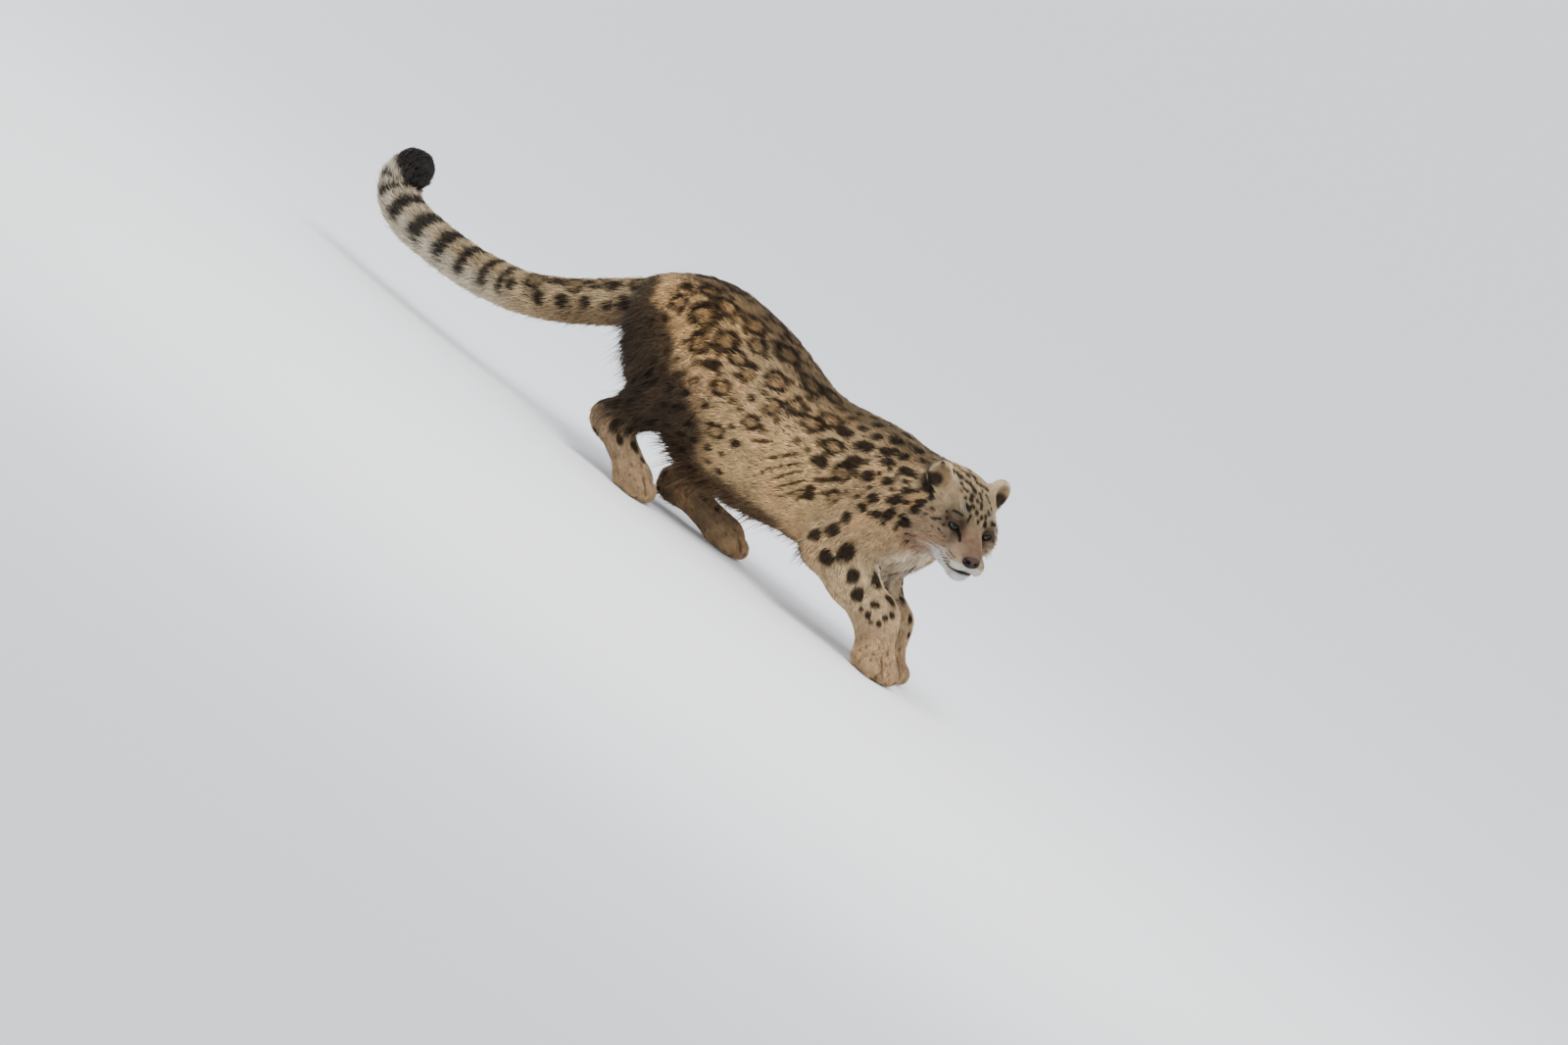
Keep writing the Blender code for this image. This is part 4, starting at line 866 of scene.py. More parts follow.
def markings(points, normals, ground):
    """The colour of the coat at each point: its ground, shaded over the body, and the spots on it."""
    colour = ground.copy()
    x, y, z = points.T
    up = normals[:, 2]
    patchy = noise(points, 0.045, 1)
    fine = noise(points, 0.012, 2)
    # Grey-brown along the back, pale and creamy low on the flank, and more orange on the rump.
    trunk = step(0.02, -0.05, x + 0.14) * step(-0.94, -0.88, x)
    ridge = trunk * step(0.38, 0.90, up + 0.12 * patchy) * step(0.33, 0.42, z)
    colour = mixed_to(colour, tone(74, 61, 43), 0.84 * ridge)
    flank = trunk * step(-0.70, -0.58, x) * step(-0.22, -0.34, x)
    flank = flank * step(0.37, 0.27, z + 0.02 * patchy) * step(0.13, 0.18, z)
    colour = mixed_to(colour, tone(202, 168, 120), 0.68 * flank)
    rump = trunk * step(-0.60, -0.70, x) * step(0.28, 0.33, z) * step(0.95, 0.6, up)
    colour = mixed_to(colour, tone(208, 166, 112), 0.66 * rump)
    colour = mixed_to(colour, tone(198, 152, 106), 0.36 * step(0.1, 0.7, patchy) * trunk * step(0.9, 0.5, up))
    # The rear of the thighs is wet, dark and shaggy. The groin below the belly is darkened partly as wet fur
    # and partly as painted shade under the body.
    behind = -(x + 0.86) * 0.515 - (z - 0.37) * 0.857 + 0.024 * patchy + 0.014 * fine
    hind = step(-0.56, -0.63, x) * step(0.082, 0.122, z + 0.014 * fine) * step(-0.97, -0.93, x)
    colour = mixed_to(colour, tone(50, 39, 29), 0.93 * hind * step(-0.010, 0.022, behind))
    groin = step(-0.74, -0.66, x) * step(-0.33, -0.45, x)
    groin = groin * step(0.19, 0.13, z + 0.02 * fine) * step(0.06, 0.10, z)
    wet_and_shaded_groin = groin * step(0.085, 0.055, np.abs(y)) + groin * step(0.15, 0.12, z)
    colour = mixed_to(colour, tone(80, 60, 40), 0.75 * np.clip(wet_and_shaded_groin, 0, 1) * step(0.17, 0.14, z))
    # Whitish chest and throat between the forelegs.
    chest = step(-0.26, -0.18, x) * step(0.10, -0.45, up)
    chest = chest * step(0.12, 0.16, z) * step(0.085, 0.050, np.abs(y + 0.01))
    colour = mixed_to(colour, tone(214, 196, 168), 0.85 * chest)
    # The tail turns whitish below and towards its tip, is brown below near its root, and ends black.
    share, off, tops = tail_shares(points)
    on_tail = step(0.075, 0.060, off) * step(-0.92, -0.97, x)
    high = (normals * tops).sum(1) + 0.18 * fine
    pale = step(0.30, 0.50, share) * step(0.25, -0.45, high) + 0.65 * step(0.45, 0.80, share)
    colour = mixed_to(colour, tone(200, 188, 166), 0.85 * (on_tail * np.clip(pale, 0, 1)))
    brown = on_tail * step(0.34, 0.20, share) * step(-0.1, -0.7, high)
    colour = mixed_to(colour, tone(84, 62, 40), 0.65 * brown)
    run = share + 0.006 * fine + 0.004 * patchy
    for place, half in TAIL_BANDS:
        band = step(half * 1.85, half * 1.30, np.abs(run - place)) * step(-0.80, -0.50, high)
        colour = mixed_to(colour, tone(20, 16, 14), 0.95 * on_tail * band)
    colour = mixed_to(colour, tone(42, 38, 36), on_tail * step(0.950, 0.965, run))
    colour *= (1 + 0.17 * patchy + 0.24 * fine)[:, None]
    # Spots, each over the points near it.
    order = np.argsort(x)
    sorted_x = x[order]
    wobble = 0.20 * noise(points, 0.013, 3) + 0.10 * noise(points, 0.006, 4)
    for (place, radius, stretch, kind), out, lie in zip(spots, SPOT_OUTS, SPOT_LIES):
        reach = radius * max(stretch, 1) * 1.5
        first, last = np.searchsorted(sorted_x, (place[0] - reach, place[0] + reach))
        near = order[first:last]
        offset = points[near] - place
        keep = (np.abs(offset[:, 1:]) < max(reach, 0.02)).all(1) & (normals[near] @ out > 0.0)
        near, offset = near[keep], offset[keep]
        if not len(near):
            continue
        along, across = offset @ lie / stretch, offset @ np.cross(out, lie)
        size = np.hypot(along, across) / radius + wobble[near] * (1.0 if radius > 0.006 else 0.45)
        if kind == "rosette":
            turn = np.arctan2(across, along)
            gaps = 0.5 + 0.5 * np.sin(turn * 2 + place[0] * 300) * np.cos(turn * 3 + place[2] * 500)
            dark = step(1.20, 1.03, size) * step(0.46, 0.64, size) * (0.76 + 0.24 * step(0.15, 0.45, gaps))
            colour[near] = mixed_to(colour[near], colour[near] * (0.70, 0.66, 0.61), step(1.0, 0.75, size))
            speck = step(0.25, 0.6, fine[near]) * step(0.6, 0.4, size)
            dark = np.maximum(dark, 0.6 * speck)
        else:
            dark = step(1.15, 0.85, size)
        ink, strength = INKS[kind]
        colour[near] = mixed_to(colour[near], ink, dark * strength)
    return face_colours(points, np.clip(colour, 0.004, 1))


def blob(place, centre, radii, turn=(0, 0, 0)):
    """How far places are from a centre, as a share of these radii."""
    return np.linalg.norm((place - centre) @ axes_from(turn) / radii, axis=1)


# Soft ovals of colour on the face and ears, given for the left side in the head's frame: centre, radii and
# turn, the shares of the radii where it begins and where it is full, its colour and how much it covers.
NO_TURN = (0, 0, 0)
EAR_TURN = (-0.30, 0.02, 0.42)
EAR_CUP = ((-0.006, 0.077, 0.071), (0.0185, 0.022, 0.0265), EAR_TURN)
ORANGE_CHEEK = ((-0.014, 0.100, -0.004), (0.022, 0.030, 0.026), NO_TURN, (1.2, 0.6), (206, 158, 102))
ORANGE_COVER = {-1: 0.58, 1: 0.30}
CHEEK_SHADES = (
    ((0.064, 0.058, -0.042), (0.034, 0.024, 0.024), NO_TURN, (1.25, 0.6), (172, 124, 94), 0.38),
    ((0.010, 0.050, -0.078), (0.070, 0.052, 0.038), NO_TURN, (1.15, 0.8), (156, 124, 98), 0.85),
)
EYE_MARKS = (
    ((0.078, 0.052, -0.004), (0.014, 0.012, 0.006), NO_TURN, (1.5, 0.5), (168, 148, 120), 0.30),
    ((0.076, 0.044, 0.029), (0.012, 0.012, 0.005), NO_TURN, (1.5, 0.5), (168, 150, 122), 0.25),
    ((0.0865, 0.0420, 0.0088), (0.0120, 0.0140, 0.0080), (0.22, 0, 0.35), (1.14, 1.02), (14, 11, 10), 1),
    ((0.0930, 0.0290, 0.0020), (0.0085, 0.0060, 0.0060), (0, 0, -0.4), (1.25, 0.8), (16, 12, 10), 0.9),
)
EAR_INSIDE = (*EAR_CUP, (1.14, 1.04), (150, 122, 88), 0.75)
# Painted shade deep in the hollow of each ear.
EAR_HOLLOW_SHADE = ((-0.016, 0.080, 0.056), (0.018, 0.017, 0.015), EAR_TURN, (1.40, 0.75), (20, 14, 11), 0.92)
EAR_BACK = ((-0.046, 0.082, 0.046), (0.020, 0.020, 0.026), NO_TURN, (1.15, 0.85), (18, 14, 11), 0.90)


def reach_in(place, way, centre, radii, turn):
    """How far places are from an oval's centre, as a share of its radii. It is given for the left side."""
    return blob(place, mirrored(centre, way), radii, mirrored_turn(turn, way))


def oval(ink, place, way, row, where=1.0):
    """Lays one soft oval of colour over the ink."""
    centre, radii, turn, edge, colour, cover = row
    share = step(*edge, reach_in(place, way, centre, radii, turn))
    return mixed_to(ink, tone(*colour), cover * share * where)


def face_colours(points, colour):
    """Black lids and tear lines, pale marks round the eyes, black lips, the dark backs of the ears, and
    painted shade deep in the ears.
    """
    here = head_places(points)
    near = (here[:, 0] > -0.09) & (np.abs(here).max(1) < 0.17)
    place, ink = here[near], colour[near]
    ahead, aside, high = place.T
    for way in SIDES.values():
        unmarked = step(0.02, 0.10, ink.mean(1))
        for row in ((*ORANGE_CHEEK, ORANGE_COVER[way]), *CHEEK_SHADES):
            ink = oval(ink, place, way, row, unmarked)
        for row in (*EYE_MARKS, EAR_INSIDE):
            ink = oval(ink, place, way, row)
        ink = oval(ink, place, way, EAR_HOLLOW_SHADE, step(1.30, 1.10, reach_in(place, way, *EAR_CUP)))
        ink = oval(ink, place, way, EAR_BACK)
        rear = (np.abs(aside - way * 0.074) < 0.034) * step(0.050, 0.058, high)
        ink = mixed_to(ink, tone(24, 18, 14), 0.8 * rear * step(-0.024, -0.032, ahead))
    front = step(0.135, 0.145, ahead) * step(-0.034, -0.042, high) * step(-0.062, -0.055, high)
    ink = mixed_to(ink, tone(226, 222, 214), 0.7 * front)
    lips = np.abs(high + 0.0600) / 0.0044 + 3 * step(0.070, 0.060, ahead)
    ink = mixed_to(ink, tone(22, 18, 17), step(1.3, 0.9, lips) * step(0.055, 0.070, ahead))
    chin = step(-0.0635, -0.0670, high) * step(0.02, 0.05, ahead)
    ink = mixed_to(ink, tone(222, 220, 214), 0.85 * chin)
    colour[near] = ink
    return colour


def set_colours(obj, colours):
    """Stores one colour for each vertex as the attribute that the finish reads."""
    layer = obj.data.color_attributes.new("markings", "FLOAT_COLOR", "POINT")
    full = np.column_stack([colours, np.ones(len(colours))])
    layer.data.foreach_set("color", full.astype(np.float32).ravel())


def set_inputs(node, values):
    for label, value in values.items():
        node.inputs[label].default_value = value


def new_finish(name, values):
    """A material, its nodes and its shader with these inputs."""
    made = bpy.data.materials.new(name)
    made.use_nodes = True
    shader = made.node_tree.nodes["Principled BSDF"]
    set_inputs(shader, values)
    return made, made.node_tree, shader


def new_node(tree, kind, values=None, **settings):
    node = tree.nodes.new("ShaderNode" + kind)
    for label, value in settings.items():
        setattr(node, label, value)
    set_inputs(node, values or {})
    return node


def link(tree, *rows):
    """Links nodes, each row a node, its output, the next node and its input."""
    for start, output, end, entry in rows:
        tree.links.new(start.outputs[output], end.inputs[entry])


def fur_finish(name, roughness, grain, relief):
    """Colour from the markings, broken up hair by hair, with a fine relief."""
    made, tree, shader = new_finish(name, {"Roughness": roughness, "Specular IOR Level": 0.15})
    colours = new_node(tree, "Attribute", attribute_name="markings")
    place = new_node(tree, "TexCoord")
    hairs = new_node(tree, "TexNoise", {"Scale": grain, "Detail": 3})
    spread = new_node(tree, "MapRange", {"To Min": 0.80, "To Max": 1.18})
    shade = new_node(tree, "Mix", {"Factor": 1}, data_type="RGBA", blend_type="MULTIPLY")
    bumps = new_node(tree, "Bump", {"Strength": relief, "Distance": 0.0008})
    link(
        tree, (place, "Object", hairs, "Vector"), (hairs, "Fac", spread, "Value"),
        (colours, "Color", shade, "A"), (spread, "Result", shade, "B"),
        (shade, "Result", shader, "Base Color"),
        (hairs, "Fac", bumps, "Height"), (bumps, "Normal", shader, "Normal"),
    )
    return made


FLESH_NODES = [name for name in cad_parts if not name.startswith(("eye", "nose"))]
low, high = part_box("eye_right")
ONTO_SOLIDS = np.array((low + high) / 2) - in_head(eye_place(-1))
skin_normals = read(skin.data.vertices, "normal", 3)
# The skin takes the colours of the markings darkened as painted shade, so the gaps between the tufts look
# like deep fur.
set_colours(skin, markings(skin_places, skin_normals, coat_here(skin_places)[1]) * SKIN_PAINTED_SHADE)
skin.data.materials.clear()
skin.data.materials.append(fur_finish("short_fur", 0.75, 900, 0.6))
edit_whole(skin, bpy.ops.uv.smart_project, angle_limit=math.radians(80), island_margin=0.002)
skin.data.uv_layers.active.name = "OFBake"
skin_uv = read(skin.data.uv_layers["OFBake"].data, "uv", 2, np.float32)
skin.data.calc_loop_triangles()
skin_corners = read(skin.data.loop_triangles, "vertices", 3, np.int32)
skin_loops = read(skin.data.loop_triangles, "loops", 3, np.int32)
set_places(skin, skin_places + ONTO_SOLIDS)
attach(skin, "root")
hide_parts(*FLESH_NODES)

# Eyes. Each is a wet ball with a slight bulge over the iris, pale grey-green with a round pupil. It sits in
# its socket behind the lids, which are part of the skin, and has the centre and radius of the solid eye.
IRIS_RADIUS = 0.0100
PUPIL_RADIUS = 0.0042
CORNEA_BULGE = 0.0010


def eye_finish(side, way):
    """Pupil, iris and a dark outer ring by the distance from the line of sight, flecked by a noise."""
    wet = {"Roughness": 0.12, "Specular IOR Level": 0.12, "Coat Weight": 0.12, "Coat Roughness": 0.04}
    made, tree, shader = new_finish(f"eye_{side}", wet)
    centre = Vector(in_head(eye_place(way)) + ONTO_SOLIDS)
    turn = (HEAD_TURN.to_matrix() @ Euler(gaze(way), "XYZ").to_matrix()).inverted()
    place = new_node(tree, "TexCoord")
    local = new_node(tree, "Mapping", {"Rotation": turn.to_euler(), "Location": -(turn @ centre)})
    parts = new_node(tree, "SeparateXYZ")
    flat = new_node(tree, "CombineXYZ")
    length = new_node(tree, "VectorMath", operation="LENGTH")
    ramp = new_node(tree, "ValToRGB")
    scale = new_node(tree, "Math", {1: EYE_RADIUS}, operation="DIVIDE")
    streaks = new_node(tree, "TexNoise", {"Scale": 900})
    blur = new_node(tree, "Mix", {"Factor": 0.35}, data_type="RGBA", blend_type="MULTIPLY")
    pupil, iris = PUPIL_RADIUS / EYE_RADIUS, IRIS_RADIUS / EYE_RADIUS
    stops = (
        (0.0, (4, 4, 4)), (pupil, (5, 5, 5)), (pupil + 0.03, (66, 66, 46)), (0.50, (98, 102, 86)),
        (iris - 0.06, (60, 64, 56)), (iris, (12, 10, 9)), (0.85, (20, 16, 13)),
    )
    while len(ramp.color_ramp.elements) < len(stops):
        ramp.color_ramp.elements.new(0.5)
    for element, (share, colour) in zip(ramp.color_ramp.elements, stops):
        element.position = share
        element.color = (*tone(*colour), 1)
    link(
        tree, (place, "Object", local, "Vector"), (local, "Vector", parts, "Vector"), (parts, "Y", flat, "Y"),
        (parts, "Z", flat, "Z"), (flat, "Vector", length, 0), (length, "Value", scale, 0),
        (scale, "Value", ramp, "Fac"), (place, "Object", streaks, "Vector"), (ramp, "Color", blur, "A"),
        (streaks, "Fac", blur, "B"), (blur, "Result", shader, "Base Color"),
    )
    return made


for side, way in SIDES.items():
    select()
    bpy.ops.mesh.primitive_uv_sphere_add(segments=48, ring_count=32, radius=EYE_RADIUS)
    eye = bpy.context.active_object
    eye.name = f"eyeball_{side}"
    ball = vertex_places(eye)
    ball[:, 2] += step(0.70, 1.0, ball[:, 2] / EYE_RADIUS) * CORNEA_BULGE
    set_places(eye, ball)
    facing = Euler(gaze(way), "XYZ").to_matrix().to_4x4() @ Matrix.Rotation(math.radians(90), 4, "Y")
    in_socket = head_matrix() @ Matrix.Translation(eye_place(way))
    eye.data.transform(Matrix.Translation(ONTO_SOLIDS) @ in_socket @ facing)
    bpy.ops.object.shade_smooth()
    eye.data.materials.append(eye_finish(side, way))
    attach(eye, "root")
    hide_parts(f"eye_{side}")

# Nose. The leather is bare, pinkish brown and darker at its edges, a broad shield over two comma nostrils,
# with a fine pebbled grain, and near black round each nostril as painted shade. It stands a hair proud of the
# fur round it.
NOSE_PLACE = (0.1500, 0, -0.0275)
NOSE_RADII = (0.0150, 0.0200, 0.0140)
NOSE_VOXEL = 0.0010
NOSE_PROUD = 0.0003
NOSTRIL = ((0.1580, 0.0105, -0.0275), (0.0085, 0.0044, 0.0034), (0, 0, 0.7))
NOSTRIL_COMMA = ((0.1530, 0.0165, -0.0290), (0.0070, 0.0060, 0.0014), (0.3, 0, 0.9))
NOSTRIL_PAINTED_SHADE = ((0.156, 0.0120, -0.0280), (0.010, 0.0075, 0.0048))

bare_coats = ("bare", "bridge", "muzzle")
muzzle_masses = [form for form in head_masses() if form.coat in bare_coats and not form.dent]
select()
nose = skin_cast([form for form in muzzle_masses if form.middle @ HEAD_AXES[:, 0] > 0.0], NOSE_VOXEL)
set_places(nose, walked(WHOLE, vertex_places(nose), -NOSE_PROUD, 4))
cut_ball(nose, NOSE_PLACE, NOSE_RADII, NO_TURN, "INTERSECT")
cut_both_sides(nose, NOSTRIL, NOSTRIL_COMMA)
nose.name = "nose_leather"
nose_here = head_places(vertex_places(nose))
edge = step(0.010, 0.019, np.abs(nose_here[:, 1])) + step(-0.026, -0.036, nose_here[:, 2])
# Painted shade round each nostril.
for way in SIDES.values():
    edge += step(1.6, 1.0, blob(nose_here, mirrored(NOSTRIL_PAINTED_SHADE[0], way), NOSTRIL_PAINTED_SHADE[1]))
leather = np.tile(tone(64, 46, 39), (len(nose_here), 1))
set_colours(nose, mixed_to(leather, tone(18, 14, 13), np.clip(edge * 0.9, 0, 1)))
nose.data.transform(Matrix.Translation(ONTO_SOLIDS))
select(nose)
bpy.ops.object.shade_smooth()
nose.data.materials.clear()
nose.data.materials.append(fur_finish("nose_leather", 0.50, 1400, 0.8))
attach(nose, "root")
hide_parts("nose")

# The coat. Tufts of guard hair grow from the skin wherever it is not bare, each a thin three-sided taper
# that rises from its root and bends over along the lie of the fur. They are short and fine on the face and
# feet, long on the trunk and tail, and wet and clumped at the rear of the thighs and below the belly.
# Each kind of place is one joined mesh, and each tuft has the colour of the markings where it shows,
# darkened at its root as painted shade and lightened at its tip as a painted highlight.
BURIED = 0.0015
BARE_SOCKET = 0.0156
LONG_HAIR = 0.016
STRAY_SHARE = 0.10
LARGE_CLUMP = 0.016
SMALL_CLUMP = 0.009
ROOT_DEPTH = 0.0012
BAKE_PATCH = 0.003
SOLE_MARGIN = 0.0005
TIP_HEIGHT = 0.001
ROOT_HEIGHT = 0.002
DARKEST = 0.003
MM2_PER_M2 = 1e6

points = skin_places[skin_corners]
cross = np.cross(points[:, 1] - points[:, 0], points[:, 2] - points[:, 0])
areas = np.linalg.norm(cross, axis=1) / 2
middles = points.mean(1)
face_sizes = coat_here(middles)[0]
bare = field(WHOLE, middles) + face_sizes[:, 0] < -BURIED
bare |= middles[:, 2] < SOLE_HEIGHT + SOLE_MARGIN
for way in SIDES.values():
    bare |= ((middles - in_head(eye_place(way))) ** 2).sum(1) < BARE_SOCKET**2
wanted = np.where(bare, 0, areas * MM2_PER_M2 * face_sizes[:, 3])
chance = np.random.default_rng(21)
counts = (wanted + chance.random(len(wanted))).astype(int)
rooted = np.repeat(np.arange(len(counts)), counts)
share = chance.random((len(rooted), 2))
over = share.sum(1) > 1
share[over] = 1 - share[over]
weights = np.column_stack([1 - share.sum(1), share])
roots = (points[rooted] * weights[:, :, None]).sum(1)
root_uv = (skin_uv[skin_loops[rooted]] * weights[:, :, None]).sum(1)
outs = units((skin_normals[skin_corners[rooted]] * weights[:, :, None]).sum(1))
sizes, _, lies = coat_here(roots)
lies = flattened(lies, outs)
sides = np.cross(outs, lies)
swirl = 0.20 * noise(roots, 0.05, 7) + 0.14 * noise(roots, 0.02, 8) + chance.normal(0, 0.09, len(roots))
lies = flattened(lies + sides * swirl[:, None], outs)
depth, lift, clump = sizes[:, 0], sizes[:, 4], sizes[:, 5]
lengths = sizes[:, 1] * chance.uniform(0.70, 1.20, len(roots))
widths = sizes[:, 2] * chance.uniform(0.75, 1.20, len(roots))
reach = chance.uniform(0.62, 1.06, len(roots)) + 0.18 * noise(roots, 0.011, 9)
middle = roots + lies * (lengths * 0.42)[:, None] + outs * (depth * 0.7)[:, None]
tips = roots + lies * (lengths * 0.96)[:, None] + outs * (depth * reach)[:, None]
middle = walked(WHOLE, middle, depth * (1 - 0.80 * reach), 1, 0.012)
tips = walked(WHOLE, tips, depth * (1 - reach), 1, 0.020)
long_hair = sizes[:, 1] > LONG_HAIR
stray = long_hair & (chance.random(len(roots)) < STRAY_SHARE)
stand = lengths * lift * chance.uniform(0.3, 1.3, len(roots))
stand = stand * np.where(stray, 8.5 - 7.5 * clump, 1)
middle += outs * (stand * 0.35)[:, None]
tips += outs * stand[:, None] * (1, 1, 0.4) - np.array((0, 0, 1)) * (stand * 0.55)[:, None]


def clumped(ends, size, amount, seed):
    """Draws the ends of neighbouring tufts together, in clumps of about this size."""
    warped = ends + 0.35 * size * np.stack([noise(ends, size * 1.3, seed + axis) for axis in range(3)], 1)
    keys = cell_numbers(np.floor(warped / size).astype(np.int64))
    _, group, number = np.unique(keys, return_inverse=True, return_counts=True)
    mean = np.stack([np.bincount(group, ends[:, axis]) / number for axis in range(3)], 1)
    return ends + (mean[group] - ends) * amount[:, None], group


tips, clump_of = clumped(tips, SMALL_CLUMP, 0.35 * long_hair + 0.15, 11)
tips, _ = clumped(tips, LARGE_CLUMP, np.clip(clump * 0.95 * long_hair, 0, 0.85), 31)
middle, _ = clumped(middle, LARGE_CLUMP, np.clip((clump - 0.4) * long_hair, 0, 0.45), 51)
tips[:, 2] = np.maximum(tips[:, 2], TIP_HEIGHT)
middle[:, 2] = np.maximum(middle[:, 2], ROOT_HEIGHT)
roots[:, 2] = np.maximum(roots[:, 2], ROOT_HEIGHT)
clump_tone = np.random.default_rng(3).normal(0, 0.11, clump_of.max() + 1)[clump_of]
tuft_tone = 1 + chance.normal(0, 0.07, len(roots)) + clump_tone * (0.5 + 2 * clump)
tuft_tone = np.clip(tuft_tone, 0.45, 1.7)[:, None]
waist_colours = np.clip(markings(middle, outs, coat_here(middle)[1]) * tuft_tone, DARKEST, 1)
tip_colours = np.clip(markings(tips, outs, coat_here(tips)[1]) * tuft_tone, DARKEST, 1)


def new_object(name, data):
    made = bpy.data.objects.new(name, data)
    bpy.context.scene.collection.objects.link(made)
    return made


def tufts(name, chosen):
    """Joined tufts, each a thin three-sided blade, pointed at both ends and bent at its widest."""
    count = int(chosen.sum())
    out, wide, mid, tip = outs[chosen], widths[chosen], middle[chosen], tips[chosen]
    root = roots[chosen] - out * ROOT_DEPTH
    side = flattened(np.cross(out, tip - root), out)
    bend = root * 0.36 + (2 * mid - 0.5 * (root + tip)) * 0.48 + tip * 0.16
    half, rise = side * (wide / 2)[:, None], out * (wide * 0.42)[:, None]
    verts = np.stack([root, bend + half, bend - half, bend + rise, tip], 1)
    # Painted shade and highlight: the root is darkened as shade deep in the coat and the tip lightened as a
    # highlight, both more where the fur clumps.
    root_shade, tip_highlight = (0.90 - 0.38 * clump[chosen])[:, None], (1.02 + 0.22 * clump[chosen])[:, None]
    waist, end = waist_colours[chosen], tip_colours[chosen]
    tints = np.stack([waist * root_shade, waist * 0.95, waist * 0.95, waist, end * tip_highlight], 1)
    tris = ((0, 3, 1), (0, 2, 3), (0, 1, 2), (4, 1, 3), (4, 3, 2), (4, 2, 1))
    patch = np.array(((0.5, 0), (1, 0.4), (0, 0.4), (0.5, 0.4), (0.5, 1))) * BAKE_PATCH - BAKE_PATCH / 2
    first = (np.arange(count) * len(patch))[:, None]
    corners = (first + np.array(sum(tris, ()))).ravel()
    starts = np.arange(count * len(tris)) * 3
    mesh = bpy.data.meshes.new(name)
    mesh.vertices.add(count * len(patch))
    mesh.loops.add(len(corners))
    mesh.polygons.add(len(starts))
    mesh.vertices.foreach_set("co", (verts + ONTO_SOLIDS).ravel())
    mesh.loops.foreach_set("vertex_index", corners.astype(np.int32))
    mesh.polygons.foreach_set("loop_start", starts.astype(np.int32))
    mesh.polygons.foreach_set("use_smooth", np.ones(len(starts), bool))
    mesh.update(calc_edges=True)
    mesh.validate()
    piece = new_object(name, mesh)
    set_colours(piece, np.clip(tints, 0, 1).reshape(-1, 3))
    at = (root_uv[chosen][:, None, :] + patch[None]).reshape(-1, 2)
    layer = mesh.uv_layers.new(name="OFBake")
    layer.data.foreach_set("uv", np.clip(at[corners], 0, 1).astype(np.float32).ravel())
    mesh.materials.append(LONG_FUR)
    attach(piece, "root")


LONG_FUR = fur_finish("guard_hair", 0.55, 1500, 0.15)
x, _, z = roots.T
ahead, aside, high = head_places(roots).T
head_part = (roots - HEAD_BACK[0]) @ HEAD_BACK[1] > 0
ears = head_part & (high > 0.048) & (np.abs(aside) > 0.036)
face = head_part & ~ears & (ahead > 0.045)
ruff = head_part & ~ears & (ahead < 0.045)
body = ~head_part
tail = body & (x < -0.93)
legs = body & ~tail & (z < 0.155) & (depth < 0.0125)
shaggy = body & ~tail & ~legs & (lift > 0.14)
smooth_coat = body & ~tail & ~legs & ~shaggy
PLACES = {
    "coat_ears": ears,
    "coat_muzzle": face & (ahead > 0.098),
    "coat_face": face & (ahead <= 0.098),
    "coat_crown": ruff & (high > 0.0),
    "coat_ruff": ruff & (high <= 0.0),
    "coat_tail": tail,
    "coat_forelegs": legs & (x > -0.40),
    "coat_hindlegs": legs & (x <= -0.40),
    "coat_shaggy_rear": shaggy & (x < -0.66),
    "coat_belly_fringe": shaggy & (x >= -0.66),
    "coat_rump": smooth_coat & (x < -0.62),
    "coat_flanks": smooth_coat & (x >= -0.62) & (x < -0.36),
    "coat_shoulders": smooth_coat & (x >= -0.36),
}
for name, chosen in PLACES.items():
    tufts(name, chosen)

# Whiskers. Stiff white hairs in four rows on each side of the upper lip, and a few above the eyes, thin as
# wire at the root and tapering to nothing as they bend back.
WHISKER_RADIUS = 0.00040
WHISKER_RINGS = 6
QUARTER_TURNS = (0, 1.571, 3.142, 4.712)


def whisker(start, aim, droop, length):
    """The line of a hair from its root in the lip to its tip."""
    start, aim, droop = np.array(start), np.array(aim) * length, np.array(droop) * length
    shares = [number / WHISKER_RINGS for number in range(WHISKER_RINGS + 1)]
    return [in_head(start + aim * share + droop * share**2) for share in shares]


def whisker_mesh(lines):
    """A closed taper of six rings of four points along each line."""
    verts, faces = [], []
    for line in lines:
        first = len(verts)
        for number, place in enumerate(line[:-1]):
            ahead = unit(line[number + 1] - place)
            side = unit(np.cross(ahead, (0.1, 0.2, 1)))
            other = np.cross(ahead, side)
            radius = WHISKER_RADIUS * (1 - 0.85 * number / WHISKER_RINGS)
            for turn in QUARTER_TURNS:
                verts.append(place + (side * math.cos(turn) + other * math.sin(turn)) * radius)
        verts.append(line[-1])
        for ring in range(WHISKER_RINGS - 1):
            for corner in range(4):
                here, beside = first + ring * 4 + corner, first + ring * 4 + (corner + 1) % 4
                faces.append((here, beside, beside + 4, here + 4))
        last = first + (WHISKER_RINGS - 1) * 4
        faces += [(last + corner, last + (corner + 1) % 4, len(verts) - 1) for corner in range(4)]
        faces.append((first + 3, first + 2, first + 1, first))
    mesh = bpy.data.meshes.new("whiskers")
    mesh.from_pydata([tuple(vert + ONTO_SOLIDS) for vert in verts], [], faces)
    return mesh


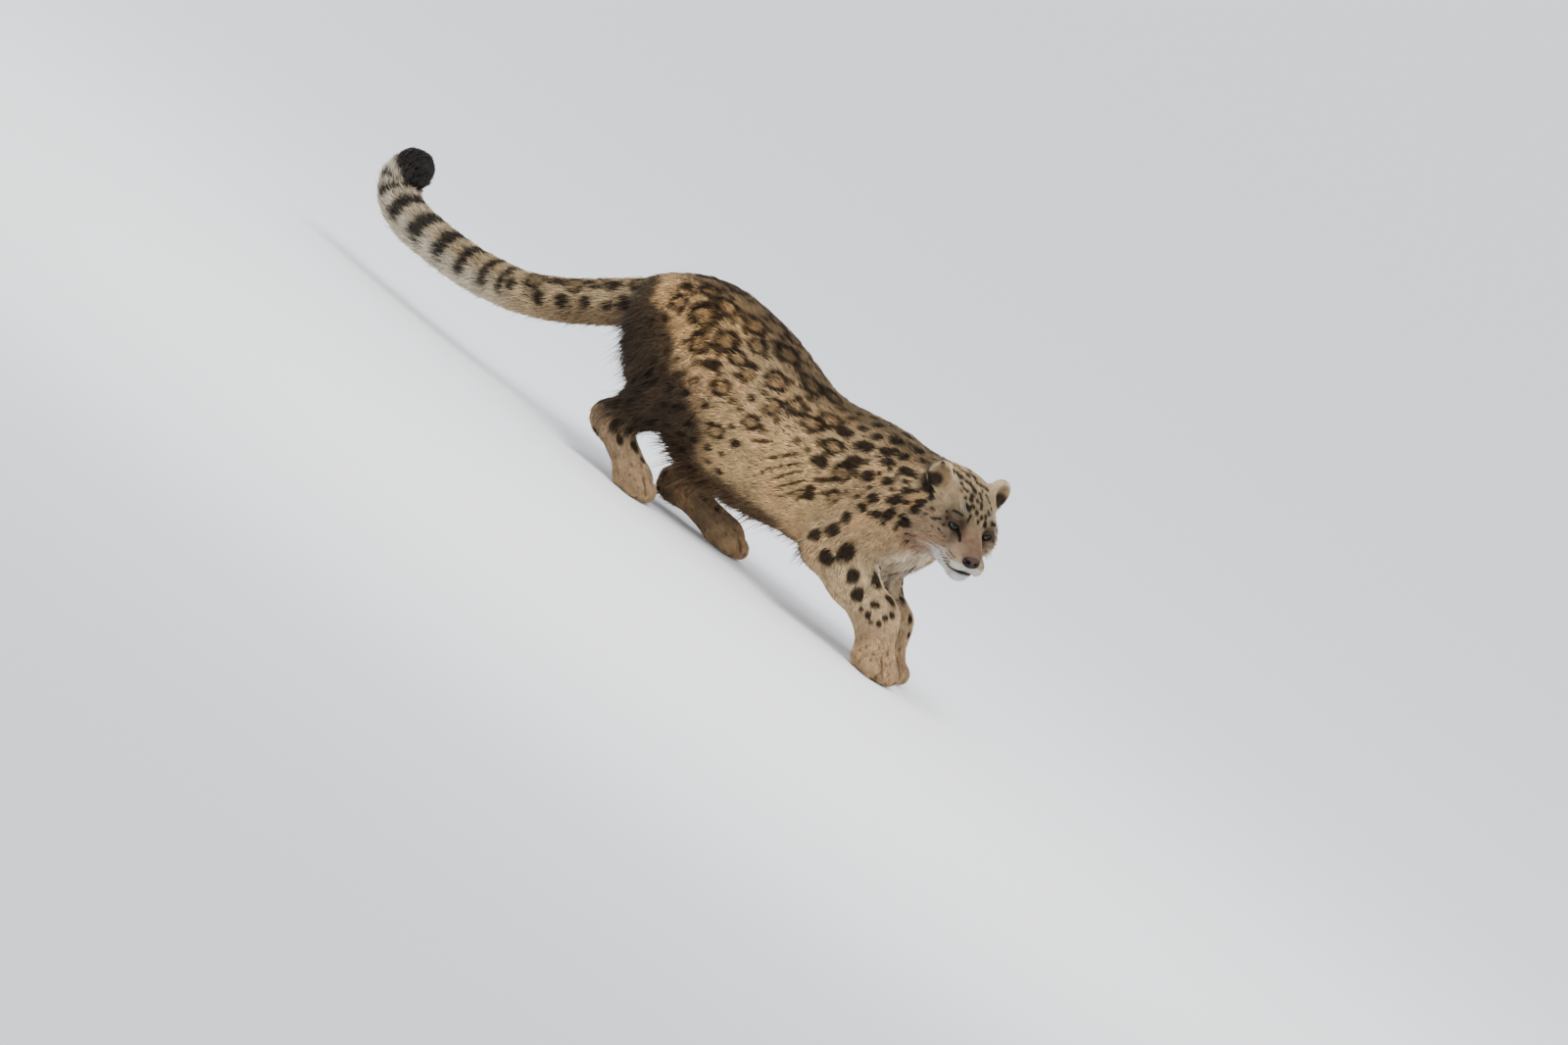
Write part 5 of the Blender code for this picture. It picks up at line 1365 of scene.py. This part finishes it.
lines = []
for way in SIDES.values():
    for row in range(4):
        for number in range(4):
            start = (0.140 - number * 0.009, way * (0.031 + number * 0.0045), -0.034 - row * 0.0055)
            aim = unit((-0.30 - 0.20 * number, way * 0.85, -0.25 - 0.12 * row))
            lines.append(whisker(start, aim, (-0.30, 0, 0.05), 0.040 + 0.009 * ((row * 3 + number * 2) % 4)))
    for number in range(3):
        start = (0.076, way * (0.026 + number * 0.006), 0.041)
        aim = unit((0.15, way * 0.35, 0.85))
        lines.append(whisker(start, aim, (-0.55, way * 0.2, 0), 0.026 + number * 0.004))
whiskers = new_object("whiskers", whisker_mesh(lines))
edit_whole(whiskers, bpy.ops.mesh.normals_make_consistent, inside=False)
bpy.ops.object.shade_smooth()
set_colours(whiskers, np.tile(tone(206, 200, 188), (len(whiskers.data.vertices), 1)))
whiskers.data.materials.append(fur_finish("whisker", 0.35, 400, 0.05))
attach(whiskers, "root")

# Floor, light and camera. A plain pale floor with no edge in view, an overcast sky with one broad soft
# light above, and a long lens from low on the animal's right, tilted as the photograph is.
FLOOR_WIDTH = 900
FLOOR_DROP = 0.0005
SKY_COLOUR = (0.93, 0.96, 1.0, 1)
SKY_STRENGTH = 1.60
LAMP_PLACE = (1.2, -2.2, 4.2)
LAMP_AIM = (0, 0, 0.25)

select()
bpy.ops.mesh.primitive_plane_add(size=FLOOR_WIDTH, location=(0, 0, -FLOOR_DROP))
floor = bpy.context.active_object
floor.name = "floor"
bpy.ops.object.transform_apply()
pale, _, _ = new_finish("floor", {"Base Color": (0.84, 0.84, 0.85, 1), "Roughness": 0.9})
floor.data.materials.append(pale)
floor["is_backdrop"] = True

world = bpy.data.worlds.new("sky")
bpy.context.scene.world = world
world.use_nodes = True
set_inputs(world.node_tree.nodes["Background"], {"Color": SKY_COLOUR, "Strength": SKY_STRENGTH})

lamp = bpy.data.lights.new("sky_light", "AREA")
lamp.size = 2.4
lamp.energy = 230
sky_light = new_object("sky_light", lamp)
sky_light.location = LAMP_PLACE
sky_light.rotation_euler = (Vector(LAMP_AIM) - Vector(LAMP_PLACE)).to_track_quat("-Z", "Y").to_euler()

# The camera's axes in the model, and the pixel of the photograph that shows the toes of the near front paw.
LENS = 800.0
SENSOR = 36
PHOTO_WIDTH = 1600
PHOTO_MIDDLE = (800, 533)
PAW_PIXEL = (895, 683)
PAW_PLACE = (0, -0.075, 0.020)
PIXELS_PER_METRE = 490.0
RIGHT = np.array((0.73704, 0.36245, 0.57043))
UP = np.array((-0.56389, -0.13548, 0.81466))
AHEAD = np.array((-0.37255, 0.92210, -0.10453))
aim_point = np.array(PAW_PLACE) + RIGHT * (PHOTO_MIDDLE[0] - PAW_PIXEL[0]) / PIXELS_PER_METRE
aim_point = aim_point + UP * (PAW_PIXEL[1] - PHOTO_MIDDLE[1]) / PIXELS_PER_METRE
distance = PHOTO_WIDTH / PIXELS_PER_METRE * LENS / SENSOR
camera_data = bpy.data.cameras.new("camera")
camera_data.lens = LENS
camera_data.sensor_width = SENSOR
camera_data.clip_end = 1000
camera = new_object("camera", camera_data)
placed = Matrix.Translation(aim_point + ONTO_SOLIDS - AHEAD * distance)
camera.matrix_world = placed @ Matrix(np.column_stack([RIGHT, UP, -AHEAD]).tolist()).to_4x4()
bpy.context.scene.camera = camera

low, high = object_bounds()
